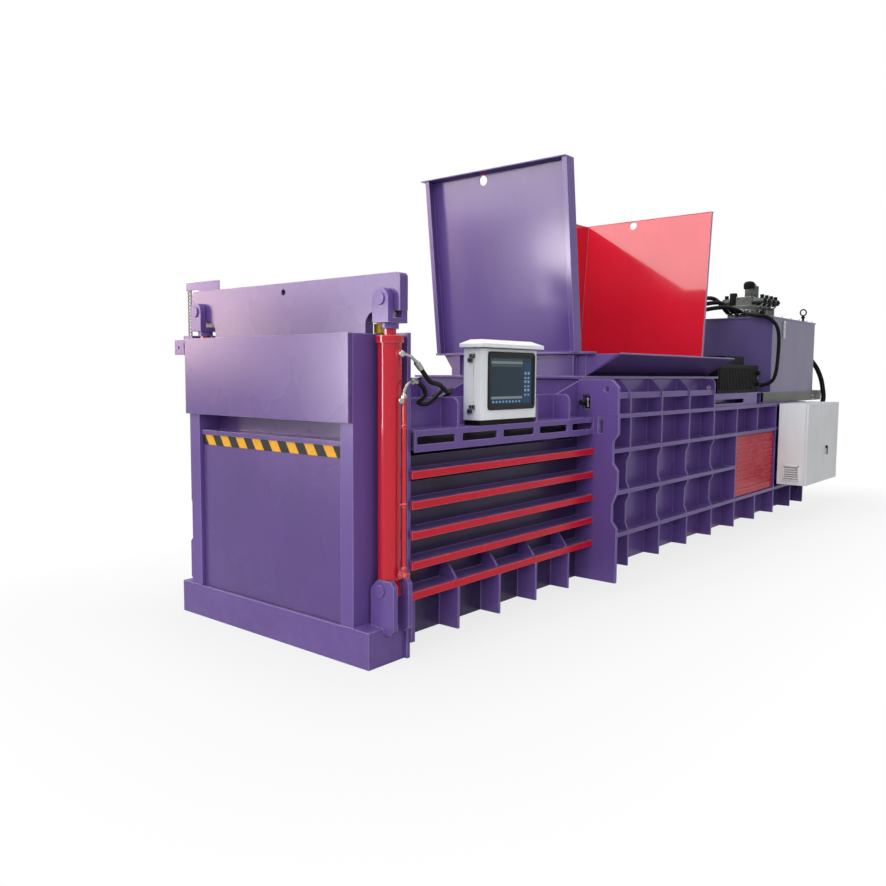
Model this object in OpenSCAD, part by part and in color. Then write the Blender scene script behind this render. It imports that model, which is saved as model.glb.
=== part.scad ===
// Horizontal recycling baler with a lifting gate, tie slots, a feed hopper and a hydraulic power unit.
// Millimetres. X runs from the discharge gate to the rear, Y across the machine, Z up from the floor.

/* [Gate frame] */
// Clear width between the gate posts
opening_w = 1280; // [1240:10:1320]
// Clear height from the sill to the cover panel
opening_h = 1090; // [1060:10:1120]
// Width of one gate post
post_w = 95; // [85:1:105]
// Depth of the gate posts along the machine
post_d = 272; // [268:1:285]
// Height of the sill under the gate
sill_h = 200; // [190:5:210]
// Length of the sill that stands out past each post
sill_ear = 115; // [105:1:125]
// Height of the cover panel in front of the gate pocket
cover_h = 465; // [440:5:480]
// How far the cover panel stands proud of the posts
cover_t = 33; // [26:1:40]
// Thickness of the rear frame plate
frame_plate_t = 25; // [20:1:30]
// How far the rear frame plate stands out past each post
frame_plate_ear = 135; // [125:1:145]

/* [Gate] */
// Distance from the front of the posts to the face of the gate
gate_set = 25; // [20:1:35]
// Thickness of the cross plate that the lift rods pull on
cross_t = 60; // [54:1:64]
// Length of the cross plate
cross_len = 1850; // [1830:5:1880]
// Height of the cross plate above the rod heads
cross_h = 195; // [180:5:210]
// Gap between the top of the posts and the cross plate
cross_gap = 116; // [110:1:125]
// Corner radius of the cross plate
cross_r = 26; // [10:1:40]
// Radius of the arches that clear the rod heads
arch_r = 72; // [66:1:76]
// Diameter of the lifting hole in the cross plate
lift_hole_d = 36; // [24:1:44]
// Travel of the gate
gate_travel = 1050; // [1000:10:1060]
// Height of the ledge along the gate face
ledge_h = 28; // [22:1:34]
// Height of the painted strip below the ledge
strip_h = 64; // [54:1:74]

/* [Lift cylinders] */
// Outer diameter of a lift cylinder barrel
barrel_d = 128; // [118:1:134]
// Wall of a lift cylinder barrel
barrel_wall = 14; // [11:1:17]
// Diameter of a lift rod
rod_d = 50; // [44:1:54]
// Height of the barrel foot above the floor
barrel_z = 457; // [450:1:475]
// Diameter of the gland flange on top of the barrel
gland_d = 150; // [142:1:156]
// Diameter of the clevis pins
pin_d = 50; // [44:1:56]
// Thickness of one ear of the rod clevis
ear_t = 40; // [34:1:44]
// Thickness of one ear of the foot clevis
foot_ear_t = 32; // [28:1:36]

/* [Bale chamber] */
// Length of the bale chamber behind the gate frame
chamber_len = 1890; // [1870:10:1910]
// Depth of the hollow wall beams
wall_t = 140; // [134:1:146]
// How far the inner wall face stands outside the post's inner face
wall_set = 8; // [4:1:12]
// Plate thickness of the hollow wall beams
beam_plate = 10; // [8:1:14]
// Height of the underside of the lowest tie bar
bar_z = 328; // [324:1:334]
// Distance from one tie bar to the next
bar_pitch = 164.5; // [160:0.5:166]
// Height of a tie bar
bar_h = 42; // [38:1:46]
// Thickness of a tie bar
bar_t = 14; // [10:1:18]
// How far the tie shelves stand out from the wall
shelf_w = 136; // [128:1:144]
// Height of a tie slot
slot_h = 34; // [28:1:40]
// Height of the rib feet above the floor
rib_z = 83; // [78:1:90]
// Thickness of the chamber ribs
rib_t = 16; // [12:1:20]
// How far the chamber ribs stand out from the wall
chamber_rib_w = 142; // [138:1:148]

/* [Press box] */
// Length of the press box behind the joint plate
press_len = 4850; // [4840:1:4870]
// How far the press box ribs stand out from the wall
rib_w = 131; // [124:1:138]
// Thickness of the press box shelves
shelf_t = 30; // [24:1:34]
// Depth of the waist in the side of a rib
waist = 28; // [20:1:34]
// Thickness of the joint plate
joint_t = 28; // [24:1:32]
// How far the joint plate stands out from the wall
joint_w = 324; // [316:1:330]
// Depth of the notches in the joint plate
joint_notch = 40; // [32:1:46]
// Length of the feed opening
feed_len = 2190; // [2170:5:2200]
// Height of the feed throat above the press box wall
throat_h = 262; // [256:1:268]
// Thickness of the flange under the hopper
flange_t = 18; // [14:1:22]

/* [Hopper] */
// Height of the hopper panels
panel_h = 1375; // [1300:5:1400]
// How far the front panel leans forward at its top
front_lean = 160; // [120:5:180]
// How far the back panel leans back at its top
back_lean = 128; // [100:4:150]
// Width across the hopper panels
hopper_w = 1320; // [1310:5:1330]
// Plate thickness of the hopper
hopper_t = 8; // [6:1:10]
// Depth of the folded edges of the hopper panels
fold_d = 100; // [80:2:110]
// Height of the hopper neck
neck_h = 164; // [158:1:170]
// How far the feed lip flares out
lip_w = 280; // [250:5:300]
// Diameter of the lifting holes in the panels
panel_hole_d = 76; // [60:2:78]

/* [Ram] */
// Length of the ram body
ram_len = 1100; // [1060:10:1120]
// Side gap between the ram and the chamber wall
ram_gap = 17; // [14:1:20]
// Travel of the ram
ram_travel = 2350; // [2300:10:2360]
// Plate thickness of the ram
ram_plate = 32; // [26:1:36]
// Outer diameter of the main cylinder
main_d = 260; // [250:2:270]
// Diameter of the main rod
main_rod_d = 150; // [140:2:156]

/* [Control box] */
// Width of the control box
box_w = 580; // [560:2:590]
// Height of the control box
box_h = 424; // [410:2:434]
// Depth of the control box with its door
box_d = 127; // [122:1:134]
// Sheet thickness of the control box
box_t = 3; // [2:0.5:4]
// Overhang of the rain hood
hood_out = 34; // [24:1:44]

/* [Power unit] */
// Length of the oil tank
tank_len = 1500; // [1440:10:1540]
// Width of the oil tank
tank_w = 1600; // [1560:10:1620]
// Height of the oil tank
tank_h = 796; // [760:4:820]
// Height of the tank beams
beam_h = 116; // [110:1:122]
// Width of a tank beam
beam_w = 150; // [130:2:160]
// Length of a tank beam
beam_len = 2070; // [2040:10:2100]
// Length of the oil cooler
cooler_len = 1100; // [1060:10:1120]
// Height of the oil cooler
cooler_h = 280; // [260:4:300]

/* [Cabinet] */
// Width of the electrical cabinet
cab_w = 1130; // [1100:5:1150]
// Height of the electrical cabinet
cab_h = 862; // [840:2:866]
// Depth of the electrical cabinet with its door
cab_d = 300; // [280:2:310]
// Sheet thickness of the electrical cabinet
cab_t = 3; // [2:0.5:4]

/* [Hidden] */
bar_n = 5;
$fn = 48;
eps = 0.5;
run_gap = 0.05;
seat = 0.3;
PURPLE = [0.36, 0.28, 0.58];
LILAC = [0.52, 0.44, 0.70];
RED = [0.80, 0.07, 0.13];
STEEL = [0.72, 0.73, 0.75];
DARK = [0.10, 0.10, 0.11];
PALE = [0.86, 0.87, 0.87];
YELLOW = [0.95, 0.75, 0.10];

// Gate frame
post_in = opening_w / 2;
post_out = post_in + post_w;
sill_y = post_out + sill_ear;
cover_z = sill_h + opening_h;
frame_top = cover_z + cover_h;
plate_y = post_out + frame_plate_ear;
cover_y = post_out;
cover_skin = 12;
throat_x = post_d;
chamber_x = post_d + frame_plate_t;

// Gate and its guides
wing = 34;
guide_gap = 2;
cross_x = post_d - 60 - cross_t;
cross_z = frame_top + cross_gap;
cross_top = cross_z + cross_h;
gate_y = post_in - 10;
gate_foot = sill_h + 3;
ledge_z = cover_z - 128;
ledge_out = 12;
door_back = cross_x + cross_t;
door_top = ledge_z + ledge_h;

// Lift cylinders
cyl_x = cross_x + cross_t / 2;
cyl_y = post_out + 91;
neck_d = rod_d + 16;
rod_drop = 95;
gland_h = 37;
neck_top = 35;
collar_d = rod_d + 44;
collar_h = 56;
ear_gap = 4;
foot_pin_z = barrel_z - 57;
rod_pin_z = cross_z + 60;
gland_z = rod_pin_z - rod_drop - collar_h - neck_top - gland_h;
clevis_w = 112;
foot_w = 168;
foot_ear_x = cyl_x - 41 - foot_ear_t;

pipe_d = 20;
pipe_y = cyl_y + barrel_d / 2 + 40;
pipe_foot = barrel_z + 39;
pipe_top = 1400;
port_drop = 58;

// Bale chamber
wall_in = post_in - wall_set;
wall_out = wall_in + wall_t;
bar_y = wall_out + shelf_w;
joint_x = chamber_x + chamber_len;
h1 = 1256;
h2 = 997;
h3 = 679;
h4 = 357;
roof_z = h1 - 6;
roof_t = 25;
curb_z = h1 + 159;
junction_z = roof_z + 60;
floor_t = 25;
rib_n = 4;
rib_x = 667;
rib_pitch = 399.5;
rib_out = wall_out + chamber_rib_w;
top_bar_z = h1 - 129;
top_shelf_z = h1 - 11;
top_bar_y = wall_out + 128;

// Press box
press_x = joint_x + joint_t;
press_end = press_x + press_len;
end_t = 25;
rib_y = wall_out + rib_w;
front_rib_x = 2751;
front_pitch = 541;
rear_pitch = 562;
bay_n = 3;
rib_xs = [for (i = [0:7]) front_rib_x + min(i, bay_n) * front_pitch + max(i - bay_n, 0) * rear_pitch];
throat_top = h1 + throat_h;
flange_z = throat_top;
neck_z = flange_z + flange_t;
foot_z = neck_z + neck_h;
hopper_z = foot_z + 15;
feed_x = press_x + 205;
feed_end = feed_x + feed_len;
lug_y = wall_out + 318;
lug_hole_d = 42;
hatch_x = rib_xs[4] + rib_t / 2;
hatch_end = rib_xs[6] - rib_t / 2;

// Deck behind the hopper
deck_z = h1 + beam_h + 3;
beam_x = 5950;
beam_y = tank_w / 2;
tank_x = 6150;
tank_z = h1 + beam_h;

// Gate frame pieces
module both_sides() {
    children();
    mirror([0, 1, 0]) children();
}
// A flat plate whose outline is drawn in Y and Z, standing at x with thickness t
module cross_plate(x, t, pts) {
    translate([x, 0, 0]) rotate([90, 0, 90]) linear_extrude(t) polygon(pts);
}
// A flat plate whose outline is drawn in X and Z, standing at y with thickness t towards +Y
module side_plate(y, t, pts) {
    translate([0, y + t, 0]) rotate([90, 0, 0]) linear_extrude(t) polygon(pts);
}
module box(x0, x1, y0, y1, z0, z1) {
    translate([x0, y0, z0]) cube([x1 - x0, y1 - y0, z1 - z0]);
}
// A rectangular hollow beam along X, open at both ends
module hollow_beam(x0, x1, y0, y1, z0, z1, t) {
    difference() {
        box(x0, x1, y0, y1, z0, z1);
        box(x0 - eps, x1 + eps, y0 + t, y1 - t, z0 + t, z1 - t);
    }
}
function arc(cx, cy, r, a0, a1, n) = [for (i = [0:n]) [cx + r * cos(a0 + (a1 - a0) * i / n),
                                                      cy + r * sin(a0 + (a1 - a0) * i / n)]];

module sill() {
    plate = 30;
    web_top = sill_h - plate - seat;
    color(PURPLE) {
        box(0, post_d, -sill_y, sill_y, sill_h - plate, sill_h);
        for (x = [0, post_d - plate]) box(x, x + plate, -sill_y, sill_y, 0, web_top);
        for (y = [-sill_y, -plate, sill_y - plate])
            box(plate + seat, post_d - plate - seat, y, y + plate, 0, web_top);
    }
}

module gate_posts() {
    groove_x = cross_x - guide_gap;
    groove_end = door_back + guide_gap;
    color(PURPLE) both_sides() difference() {
        box(0, post_d, post_in, post_out, sill_h, frame_top);
        box(groove_x, groove_end, post_in - eps, post_in + wing + guide_gap, sill_h - eps, frame_top + eps);
    }
}

module gate_cover() {
    lip_d = 12;
    x0 = -cover_t + cover_skin + seat;
    color(LILAC) {
        box(-cover_t, -cover_t + cover_skin, -cover_y, cover_y, cover_z, frame_top);
        both_sides() box(x0, 0, cover_y - lip_d, cover_y, cover_z, frame_top);
        for (z = [cover_z, frame_top - lip_d])
            box(x0, 0, -cover_y + lip_d + seat, cover_y - lip_d - seat, z, z + lip_d);
    }
}

module rear_flange() {
    color(PURPLE) difference() {
        box(post_d, chamber_x, -plate_y, plate_y, 0, frame_top + 8);
        box(post_d - eps, chamber_x + eps, -wall_in, wall_in, sill_h, roof_z);
    }
}

module base_rails() {
    web = 12;
    half = 60;
    y = 450;
    x0 = chamber_x + 120;
    x1 = press_end - 100;
    color(PURPLE) both_sides() {
        box(x0, x1, y - half, y + half, 0, web);
        box(x0, x1, y - half, y + half, rib_z - web, rib_z);
        box(x0, x1, y - web / 2, y + web / 2, web, rib_z - web);
    }
}

// Lift cylinder pieces
module base_clevises() {
    corner = 52;
    y0 = cyl_y - foot_w / 2 + 14;
    y1 = cyl_y + foot_w / 2 + 14;
    foot_r = 24;
    hang = sill_h - 28;
    top = barrel_z - seat;
    outline = [[y0, sill_h], [y0, top - corner], [y0 + corner, top], [y1 - foot_r, top], [y1, top - foot_r],
               [y1, hang + foot_r], [y1 - foot_r, hang], [sill_y + seat, hang], [sill_y + seat, sill_h]];
    color(PURPLE) both_sides() for (x = [foot_ear_x, cyl_x + 41]) difference() {
        cross_plate(x, foot_ear_t, outline);
        translate([x - eps, cyl_y, foot_pin_z]) rotate([0, 90, 0])
            cylinder(d = pin_d + 2 * run_gap, h = foot_ear_t + 2 * eps);
    }
}

module base_pins() {
    head_d = pin_d + 16;
    head_t = 9;
    x0 = foot_ear_x - head_t - run_gap;
    len = 82 + 2 * foot_ear_t + 2 * run_gap;
    color(LILAC) both_sides() translate([x0, cyl_y, foot_pin_z]) rotate([0, 90, 0]) {
        cylinder(d = head_d, h = head_t);
        translate([0, 0, head_t]) cylinder(d = pin_d, h = len);
        translate([0, 0, head_t + len]) cylinder(d = head_d, h = head_t);
    }
}

// Barrel, gland flange and foot eye, with a true bore for the rod and its piston
module lift_barrels() {
    bore = barrel_d - 2 * barrel_wall;
    foot_t = 40;
    eye_w = 76;
    color(RED) both_sides() difference() {
        translate([cyl_x, cyl_y, 0]) {
            translate([0, 0, barrel_z]) cylinder(d = barrel_d, h = gland_z - barrel_z, $fn = 72);
            translate([0, 0, gland_z]) cylinder(d = gland_d, h = gland_h, $fn = 72);
            translate([0, 0, gland_z + gland_h]) cylinder(d = neck_d, h = neck_top - seat, $fn = 72);
            translate([-eye_w / 2, -45, foot_pin_z - 40]) cube([eye_w, 90, barrel_z - foot_pin_z + 40]);
            // port boss near the top
            translate([0, barrel_d / 2 - 6, gland_z - port_drop]) rotate([-90, 0, 0])
                cylinder(d = 36, h = 20);
        }
        translate([cyl_x, cyl_y, barrel_z + foot_t])
            cylinder(d = bore, h = gland_z - barrel_z - 2 * foot_t, $fn = 72);
        translate([cyl_x, cyl_y, gland_z - foot_t - eps])
            cylinder(d = rod_d + 2 * run_gap, h = 200, $fn = 72);
        translate([cyl_x - eye_w, cyl_y, foot_pin_z]) rotate([0, 90, 0])
            cylinder(d = pin_d + 2 * run_gap, h = 2 * eye_w);
    }
}

// Steel return pipe with its stand-off clips and the fitting block at its foot
module lift_pipes() {
    clip = 9;
    wall_y = cyl_y + barrel_d / 2 + seat;
    boss = 20;
    color(RED) both_sides() {
        translate([cyl_x, pipe_y, pipe_foot]) cylinder(d = pipe_d, h = pipe_top - pipe_foot, $fn = 24);
        for (z = [pipe_foot + 360, pipe_top - 130])
            box(cyl_x - clip, cyl_x + clip, wall_y, pipe_y, z, z + 8);
        // fitting block that feeds the foot of the barrel
        box(cyl_x - boss, cyl_x + boss, wall_y, pipe_y + boss, pipe_foot - 30, pipe_foot + 14);
        translate([cyl_x - 34, pipe_y, pipe_foot - 8]) rotate([0, 90, 0])
            cylinder(d = 28, h = 68, $fn = 24);
        translate([cyl_x, pipe_y, pipe_top]) cylinder(d = 34, h = 20, $fn = 6);
    }
}

// Gate pieces that move
module gate() {
    neck_y = post_in + wing;
    foot = gate_foot;
    hole_z = cross_top - 54;
    arch_z = cross_z - arch_r + 3;
    half = cross_len / 2;
    skin = 30;
    back_skin = 20;
    cell = 360;
    cell_h = 380;
    cell_ys = [-cell - 2 * skin, 0, cell + 2 * skin];
    right = concat([[0, foot], [neck_y, foot], [neck_y, arch_z]],
                   arc(neck_y + arch_r, arch_z, arch_r, 180, 92, 10),
                   [[neck_y + arch_r, cross_z], [half, cross_z]],
                   arc(half - cross_r, cross_top - cross_r, cross_r, 0, 90, 6), [[0, cross_top]]);
    color(LILAC) difference() {
        union() {
            both_sides() cross_plate(cross_x, cross_t, right);
            box(gate_set, cross_x, -gate_y, gate_y, foot, door_top - ledge_h);
            box(gate_set - ledge_out, cross_x, -gate_y, gate_y, door_top - ledge_h, door_top);
        }
        translate([cross_x - eps, 0, hole_z]) rotate([0, 90, 0])
            cylinder(d = lift_hole_d, h = cross_t + 2 * eps);
        both_sides() translate([cross_x - eps, cyl_y, rod_pin_z]) rotate([0, 90, 0])
            cylinder(d = pin_d + 2 * run_gap, h = cross_t + 2 * eps);
        // closed cells between the inner stiffeners of the door
        for (y = cell_ys) for (z = [foot + 60, foot + 500])
            box(gate_set + skin, door_back - back_skin, y - cell / 2, y + cell / 2, z, z + cell_h);
    }
}

module hazard_strip() {
    t = 2;
    color(YELLOW) box(gate_set - t, gate_set, -gate_y, gate_y, door_top - ledge_h - strip_h,
        door_top - ledge_h);
}

module lift_rods() {
    piston_z = barrel_z + 60;
    color(STEEL) both_sides() translate([cyl_x, cyl_y, 0]) {
        translate([0, 0, piston_z]) cylinder(d = rod_d, h = rod_pin_z - rod_drop - 8 - piston_z, $fn = 72);
        translate([0, 0, piston_z])
            cylinder(d = barrel_d - 2 * barrel_wall - 2 * run_gap, h = 70, $fn = 72);
    }
}

module rod_clevises() {
    r = clevis_w / 2;
    x0 = cross_x - ear_gap - ear_t;
    x1 = door_back + ear_gap;
    block_z = rod_pin_z - rod_drop;
    ear = concat([[cyl_y - r, block_z], [cyl_y + r, block_z]], arc(cyl_y, rod_pin_z, r, 0, 180, 18));
    color(LILAC) both_sides() difference() {
        union() {
            for (x = [x0, x1]) cross_plate(x, ear_t, ear);
            box(x0, x1 + ear_t, cyl_y - r, cyl_y + r, block_z - 26, block_z);
            translate([cyl_x, cyl_y, block_z - collar_h]) cylinder(d = collar_d, h = collar_h, $fn = 72);
        }
        translate([x0 - eps, cyl_y, rod_pin_z]) rotate([0, 90, 0])
            cylinder(d = pin_d + 2 * run_gap, h = 400);
        translate([cyl_x, cyl_y, block_z - collar_h - eps])
            cylinder(d = rod_d + 2 * run_gap, h = collar_h - 8 + eps, $fn = 72);
    }
}

module clevis_pins() {
    head_t = 9;
    len = cross_t + 2 * ear_gap + 2 * ear_t + 2 * run_gap;
    x0 = cross_x - ear_gap - ear_t - head_t - run_gap;
    color(LILAC) both_sides() translate([x0, cyl_y, rod_pin_z]) rotate([0, 90, 0]) {
        cylinder(d = pin_d + 14, h = head_t);
        translate([0, 0, head_t]) cylinder(d = pin_d, h = len);
        translate([0, 0, head_t + len]) cylinder(d = pin_d + 14, h = head_t);
    }
}

// Toothed strip that tells the control where the gate is, hung from a bracket on the cross plate
rack_y = post_out + 322;
rack_x = door_back + 6;
module position_rack() {
    strip = 40;
    t = 6;
    pitch = 22;
    z0 = frame_top - 1080;
    z1 = cross_top + 24;
    tab = 12;
    color(PURPLE) difference() {
        box(door_back, rack_x, post_in + 74, rack_y + 26, cross_top - 70, cross_top + 72);
        // the outer half of the bracket is only a bar above the strip
        box(door_back - eps, rack_x + eps, cross_len / 2 + 16, rack_y + 27, cross_top - 71, cross_top + 22);
    }
    color(DARK) difference() {
        box(rack_x, rack_x + t, rack_y - strip / 2, rack_y + strip / 2, z0, z1 + 24);
        for (z = [z0 + pitch:pitch:z1 - pitch])
            box(rack_x - eps, rack_x + t + eps, rack_y - strip / 2 + tab,
                                                  rack_y + strip / 2 - tab + 4, z, z + pitch / 2);
    }
}

module limit_switch() {
    x = chamber_x - 40;
    y = -post_out + 70;
    z = frame_top + 8;
    color(YELLOW) {
        box(x - 8, x + 32, y - 26, y + 22, z, z + 52);
        translate([x + 12, y - 2, z + 52]) cylinder(d = 30, h = 18);
        translate([x - 2, y - 2, z + 76]) rotate([0, 90, 0]) cylinder(d = 26, h = 28);
    }
}

// Bracket on the rear frame plate with the guide for the strip and a plate for its sensor
module rack_guide() {
    z = frame_top;
    t = 12;
    slot_y = 22;
    color(PURPLE) difference() {
        union() {
            box(rack_x - 22, chamber_x, rack_y - 60, rack_y + 44, z - 10, z + 34);
            box(post_d - t, chamber_x, plate_y, rack_y - 60, z - 70, z + 34);
            box(rack_x - 22, rack_x - 10, rack_y + 44, rack_y + 152, z - 92, z + 8);
        }
        box(rack_x - 2, rack_x + 8, rack_y - slot_y, rack_y + slot_y, z - 11, z + 35);
        translate([rack_x - 23, rack_y + 104, z - 42]) rotate([0, 90, 0]) cylinder(d = 20, h = 14);
    }
}

// Bale chamber pieces
module chamber_floor() {
    web = 16;
    color(PURPLE) {
        box(chamber_x, press_end, -wall_in + seat, wall_in - seat, sill_h - floor_t, sill_h);
        xs = concat([for (i = [0:rib_n - 1]) rib_x + i * rib_pitch], [press_x + 94], rib_xs);
        for (x = xs) box(x - web / 2, x + web / 2, -wall_in + seat, wall_in - seat, rib_z,
            sill_h - floor_t);
    }
}

// Hollow wall beams of one side, with a tie slot under each shelf
module wall_beams() {
    lows = concat([rib_z], [for (i = [0:bar_n - 1]) bar_z + i * bar_pitch], [top_bar_z]);
    highs = concat([for (i = [0:bar_n - 1]) bar_z + i * bar_pitch - slot_h], [top_bar_z - slot_h, roof_z]);
    shelf_plate = 12;
    for (i = [0:bar_n + 1]) hollow_beam(chamber_x, joint_x, wall_in, wall_out, lows[i], highs[i],
        beam_plate);
    for (i = [0:bar_n - 1]) {
        z = bar_z + i * bar_pitch + bar_h;
        box(chamber_x, joint_x, wall_out + seat, bar_y - bar_t, z - shelf_plate, z);
    }
    // spacers that close the tie slots at each end
    for (i = [0:bar_n]) {
        for (x = [chamber_x, joint_x - 60])
            box(x, x + 60, wall_in, wall_out, highs[i] + seat, lows[i + 1] - seat);
    }
}
module tie_beams() {
    color(PURPLE) both_sides() wall_beams();
}

module tie_bars() {
    color(RED) both_sides() for (i = [0:bar_n - 1])
        box(post_d, joint_x, bar_y - bar_t, bar_y, bar_z + i * bar_pitch, bar_z + i * bar_pitch + bar_h);
}

// Low ribs, and the curved gussets that stand on the lowest shelf
module chamber_ribs() {
    z_under = bar_z + bar_h - 12;
    z_over = bar_z + bar_h;
    rise = 108;
    y1 = bar_y - bar_t;
    low = [[wall_out, rib_z], [rib_out, rib_z], [rib_out, bar_z - 1], [y1, bar_z - 1], [y1, z_under],
        [wall_out, z_under]];
    high = concat([[wall_out, z_over], [y1, z_over], [y1, z_over + 8]],
                  [for (i = [1:6]) [y1 - (y1 - wall_out) * i / 6, z_over + 8 + rise * sin(i * 15)]]);
    // the first rib stands right behind the frame plate
    color(PURPLE) both_sides() cross_plate(chamber_x, 2 * rib_t, [[wall_out, rib_z], [plate_y + 8, rib_z],
        [plate_y + 8, z_under], [wall_out, z_under]]);
    color(PURPLE) both_sides() for (i = [0:rib_n - 1]) {
        cross_plate(rib_x + i * rib_pitch - rib_t / 2, rib_t, low);
        cross_plate(rib_x + i * rib_pitch - rib_t / 2, rib_t, high);
    }
}

// Slotted beam along the top of the chamber, with gussets that stand on its shelf
module top_beam(gaps) {
    face_t = 12;
    z_mid = top_bar_z + 40;
    slot = 45;
    r = 10;
    x_starts = concat([chamber_x + 18], [for (i = [0:rib_n - 1]) rib_x + i * rib_pitch + 38]);
    x_ends = concat([for (i = [0:rib_n - 1]) rib_x + i * rib_pitch - 28], [joint_x - 14]);
    round_r = 46;
    gusset_top = curb_z;
    gusset = concat([[wall_out, top_shelf_z], [top_bar_y, top_shelf_z]],
                    arc(top_bar_y - round_r, gusset_top - round_r, round_r, 0, 90, 8),
                        [[wall_out, gusset_top]]);
    difference() {
        box(chamber_x, joint_x, top_bar_y - face_t, top_bar_y, top_bar_z, top_shelf_z - face_t);
        for (i = [0:rib_n]) {
            x0 = x_starts[i];
            x1 = x_ends[i];
            translate([0, top_bar_y + eps, 0]) rotate([90, 0, 0]) linear_extrude(face_t + 2 * eps) union() {
                translate([x0, z_mid + r]) square([x1 - x0, slot - 2 * r]);
                translate([x0 + r, z_mid]) square([x1 - x0 - 2 * r, slot]);
                for (x = [x0 + r, x1 - r]) for (z = [z_mid + r, z_mid + slot - r]) translate([x, z])
                    circle(r, $fn = 24);
            }
        }
    }
    box(chamber_x, joint_x, wall_out, top_bar_y, top_shelf_z - face_t, top_shelf_z);
    for (i = gaps) cross_plate(rib_x + i * rib_pitch - rib_t / 2, rib_t, gusset);
}
module top_beams() {
    // the near side leaves one gusset out, where the control box stands
    color(PURPLE) mirror([0, 1, 0]) top_beam([0, 2, 3]);
    color(PURPLE) top_beam([0, 1, 2, 3]);
}

module chamber_roof() {
    curb_t = 12;
    rise = 86;
    ys = [-230, 230];
    color(PURPLE) {
        box(chamber_x, joint_x, -wall_out, wall_out, roof_z, roof_z + roof_t);
        both_sides() side_plate(wall_out - curb_t, curb_t,
            [[chamber_x, roof_z + roof_t], [joint_x, roof_z + roof_t], [joint_x, curb_z + rise],
                [joint_x - 280, curb_z],
             [chamber_x, curb_z]]);
        // blocks where the lift hoses meet the pipes on the roof
        both_sides() box(690, 890, 560, 640, roof_z + roof_t, junction_z);
        for (y = ys) side_plate(y - curb_t / 2, curb_t,
            [[joint_x - 420, roof_z + roof_t], [joint_x, roof_z + roof_t], [joint_x, curb_z + rise],
             [joint_x - 240, curb_z], [joint_x - 420, curb_z - 60]]);
    }
}

// Joint plate between the chamber and the press box
module joint_plate() {
    y1 = wall_out + joint_w;
    y2 = y1 - joint_notch;
    bevel = 52;
    top = h1 + 22;
    outer = [[wall_in, rib_z], [y1, rib_z], [y1, 470], [y2, 470 + bevel], [y2, h3 - 40], [y1, h3 + bevel],
             [y1, 880], [y2, 880 + bevel], [y2, h2 + 88], [y1, h2 + 88 + bevel], [y1, top], [wall_in, top]];
    lug_z = top + seat;
    top_z = throat_top - 4;
    lug = [[wall_out, lug_z], [lug_y, lug_z], [lug_y, top_z - 52], [lug_y - 52, top_z], [wall_out, top_z]];
    slot_y = wall_out + 34;
    slot_w = 66;
    r = 18;
    color(PURPLE) {
        both_sides() difference() {
            cross_plate(joint_x, joint_t, outer);
            box(joint_x - eps, press_x + eps, y1 - 159, y1 - 119, h1 - 118, h1 - 6);
        }
        box(joint_x, press_x, -wall_in + seat, wall_in - seat, roof_z, top);
    }
    // lugs above it, each with a lifting hole and a rounded slot for a hose
    color(PURPLE) both_sides() difference() {
        cross_plate(joint_x, joint_t, lug);
        translate([joint_x - eps, wall_out + 227, top_z - 66]) rotate([0, 90, 0])
            cylinder(d = lug_hole_d, h = joint_t + 1);
        translate([joint_x - eps, 0, 0]) rotate([90, 0, 90]) linear_extrude(joint_t + 1) union() {
            translate([slot_y, h1 + 60]) square([slot_w, 74]);
            translate([slot_y + r, h1 + 60 - r]) square([slot_w - 2 * r, 74 + 2 * r]);
            for (y = [slot_y + r, slot_y + slot_w - r]) for (z = [h1 + 60, h1 + 134]) translate([y, z])
                circle(r, $fn = 24);
        }
    }
}

// Press box pieces
module press_wall() {
    difference() {
        box(press_x, press_end, wall_in, wall_out, rib_z, h1);
        for (z = [[rib_z + 16, h4 - 8], [h4 + 8, h3 - 8], [h3 + 8, h2 - 8], [h2 + 8, h1 - 16]])
            box(press_x - eps, press_end + eps, wall_in + 16, wall_out - 16, z[0], z[1]);
    }
}
module press_walls() {
    color(PURPLE) both_sides() press_wall();
}

// One rib between two shelves, straight or with a shallow waist in its outer side
module rib(i, z0, z1, waisted) {
    foot = [rib_y, z0 + seat];
    dip = [[rib_y - waist, z0 + 62], [rib_y - waist, z1 - 74], [rib_y, z1 - 22]];
    side = waisted ? concat([foot], dip) : [foot];
    cross_plate(rib_xs[i] - rib_t / 2, rib_t,
        concat([[wall_out, z0 + seat]], side, [[rib_y, z1 - seat], [wall_out, z1 - seat]]));
}
module rib_grid() {
    u2 = h2 - shelf_t;
    u3 = h3 - shelf_t;
    u4 = h4 - shelf_t;
    for (z = [h1, h2, h4]) box(press_x, press_end, wall_out, rib_y, z - shelf_t, z);
    box(press_x, hatch_x, wall_out, rib_y, u3, h3);
    for (i = [0:7]) {
        rib(i, rib_z - seat, u4, false);
        rib(i, h2, h1 - shelf_t, false);
    }
    for (i = [0:4]) {
        rib(i, h4, u3, i < 4);
        rib(i, h3, u2, i < 4);
    }
    rib(6, h4, u2, false);
    rib(7, h4, u2, true);
    rib_tops();
}
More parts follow.
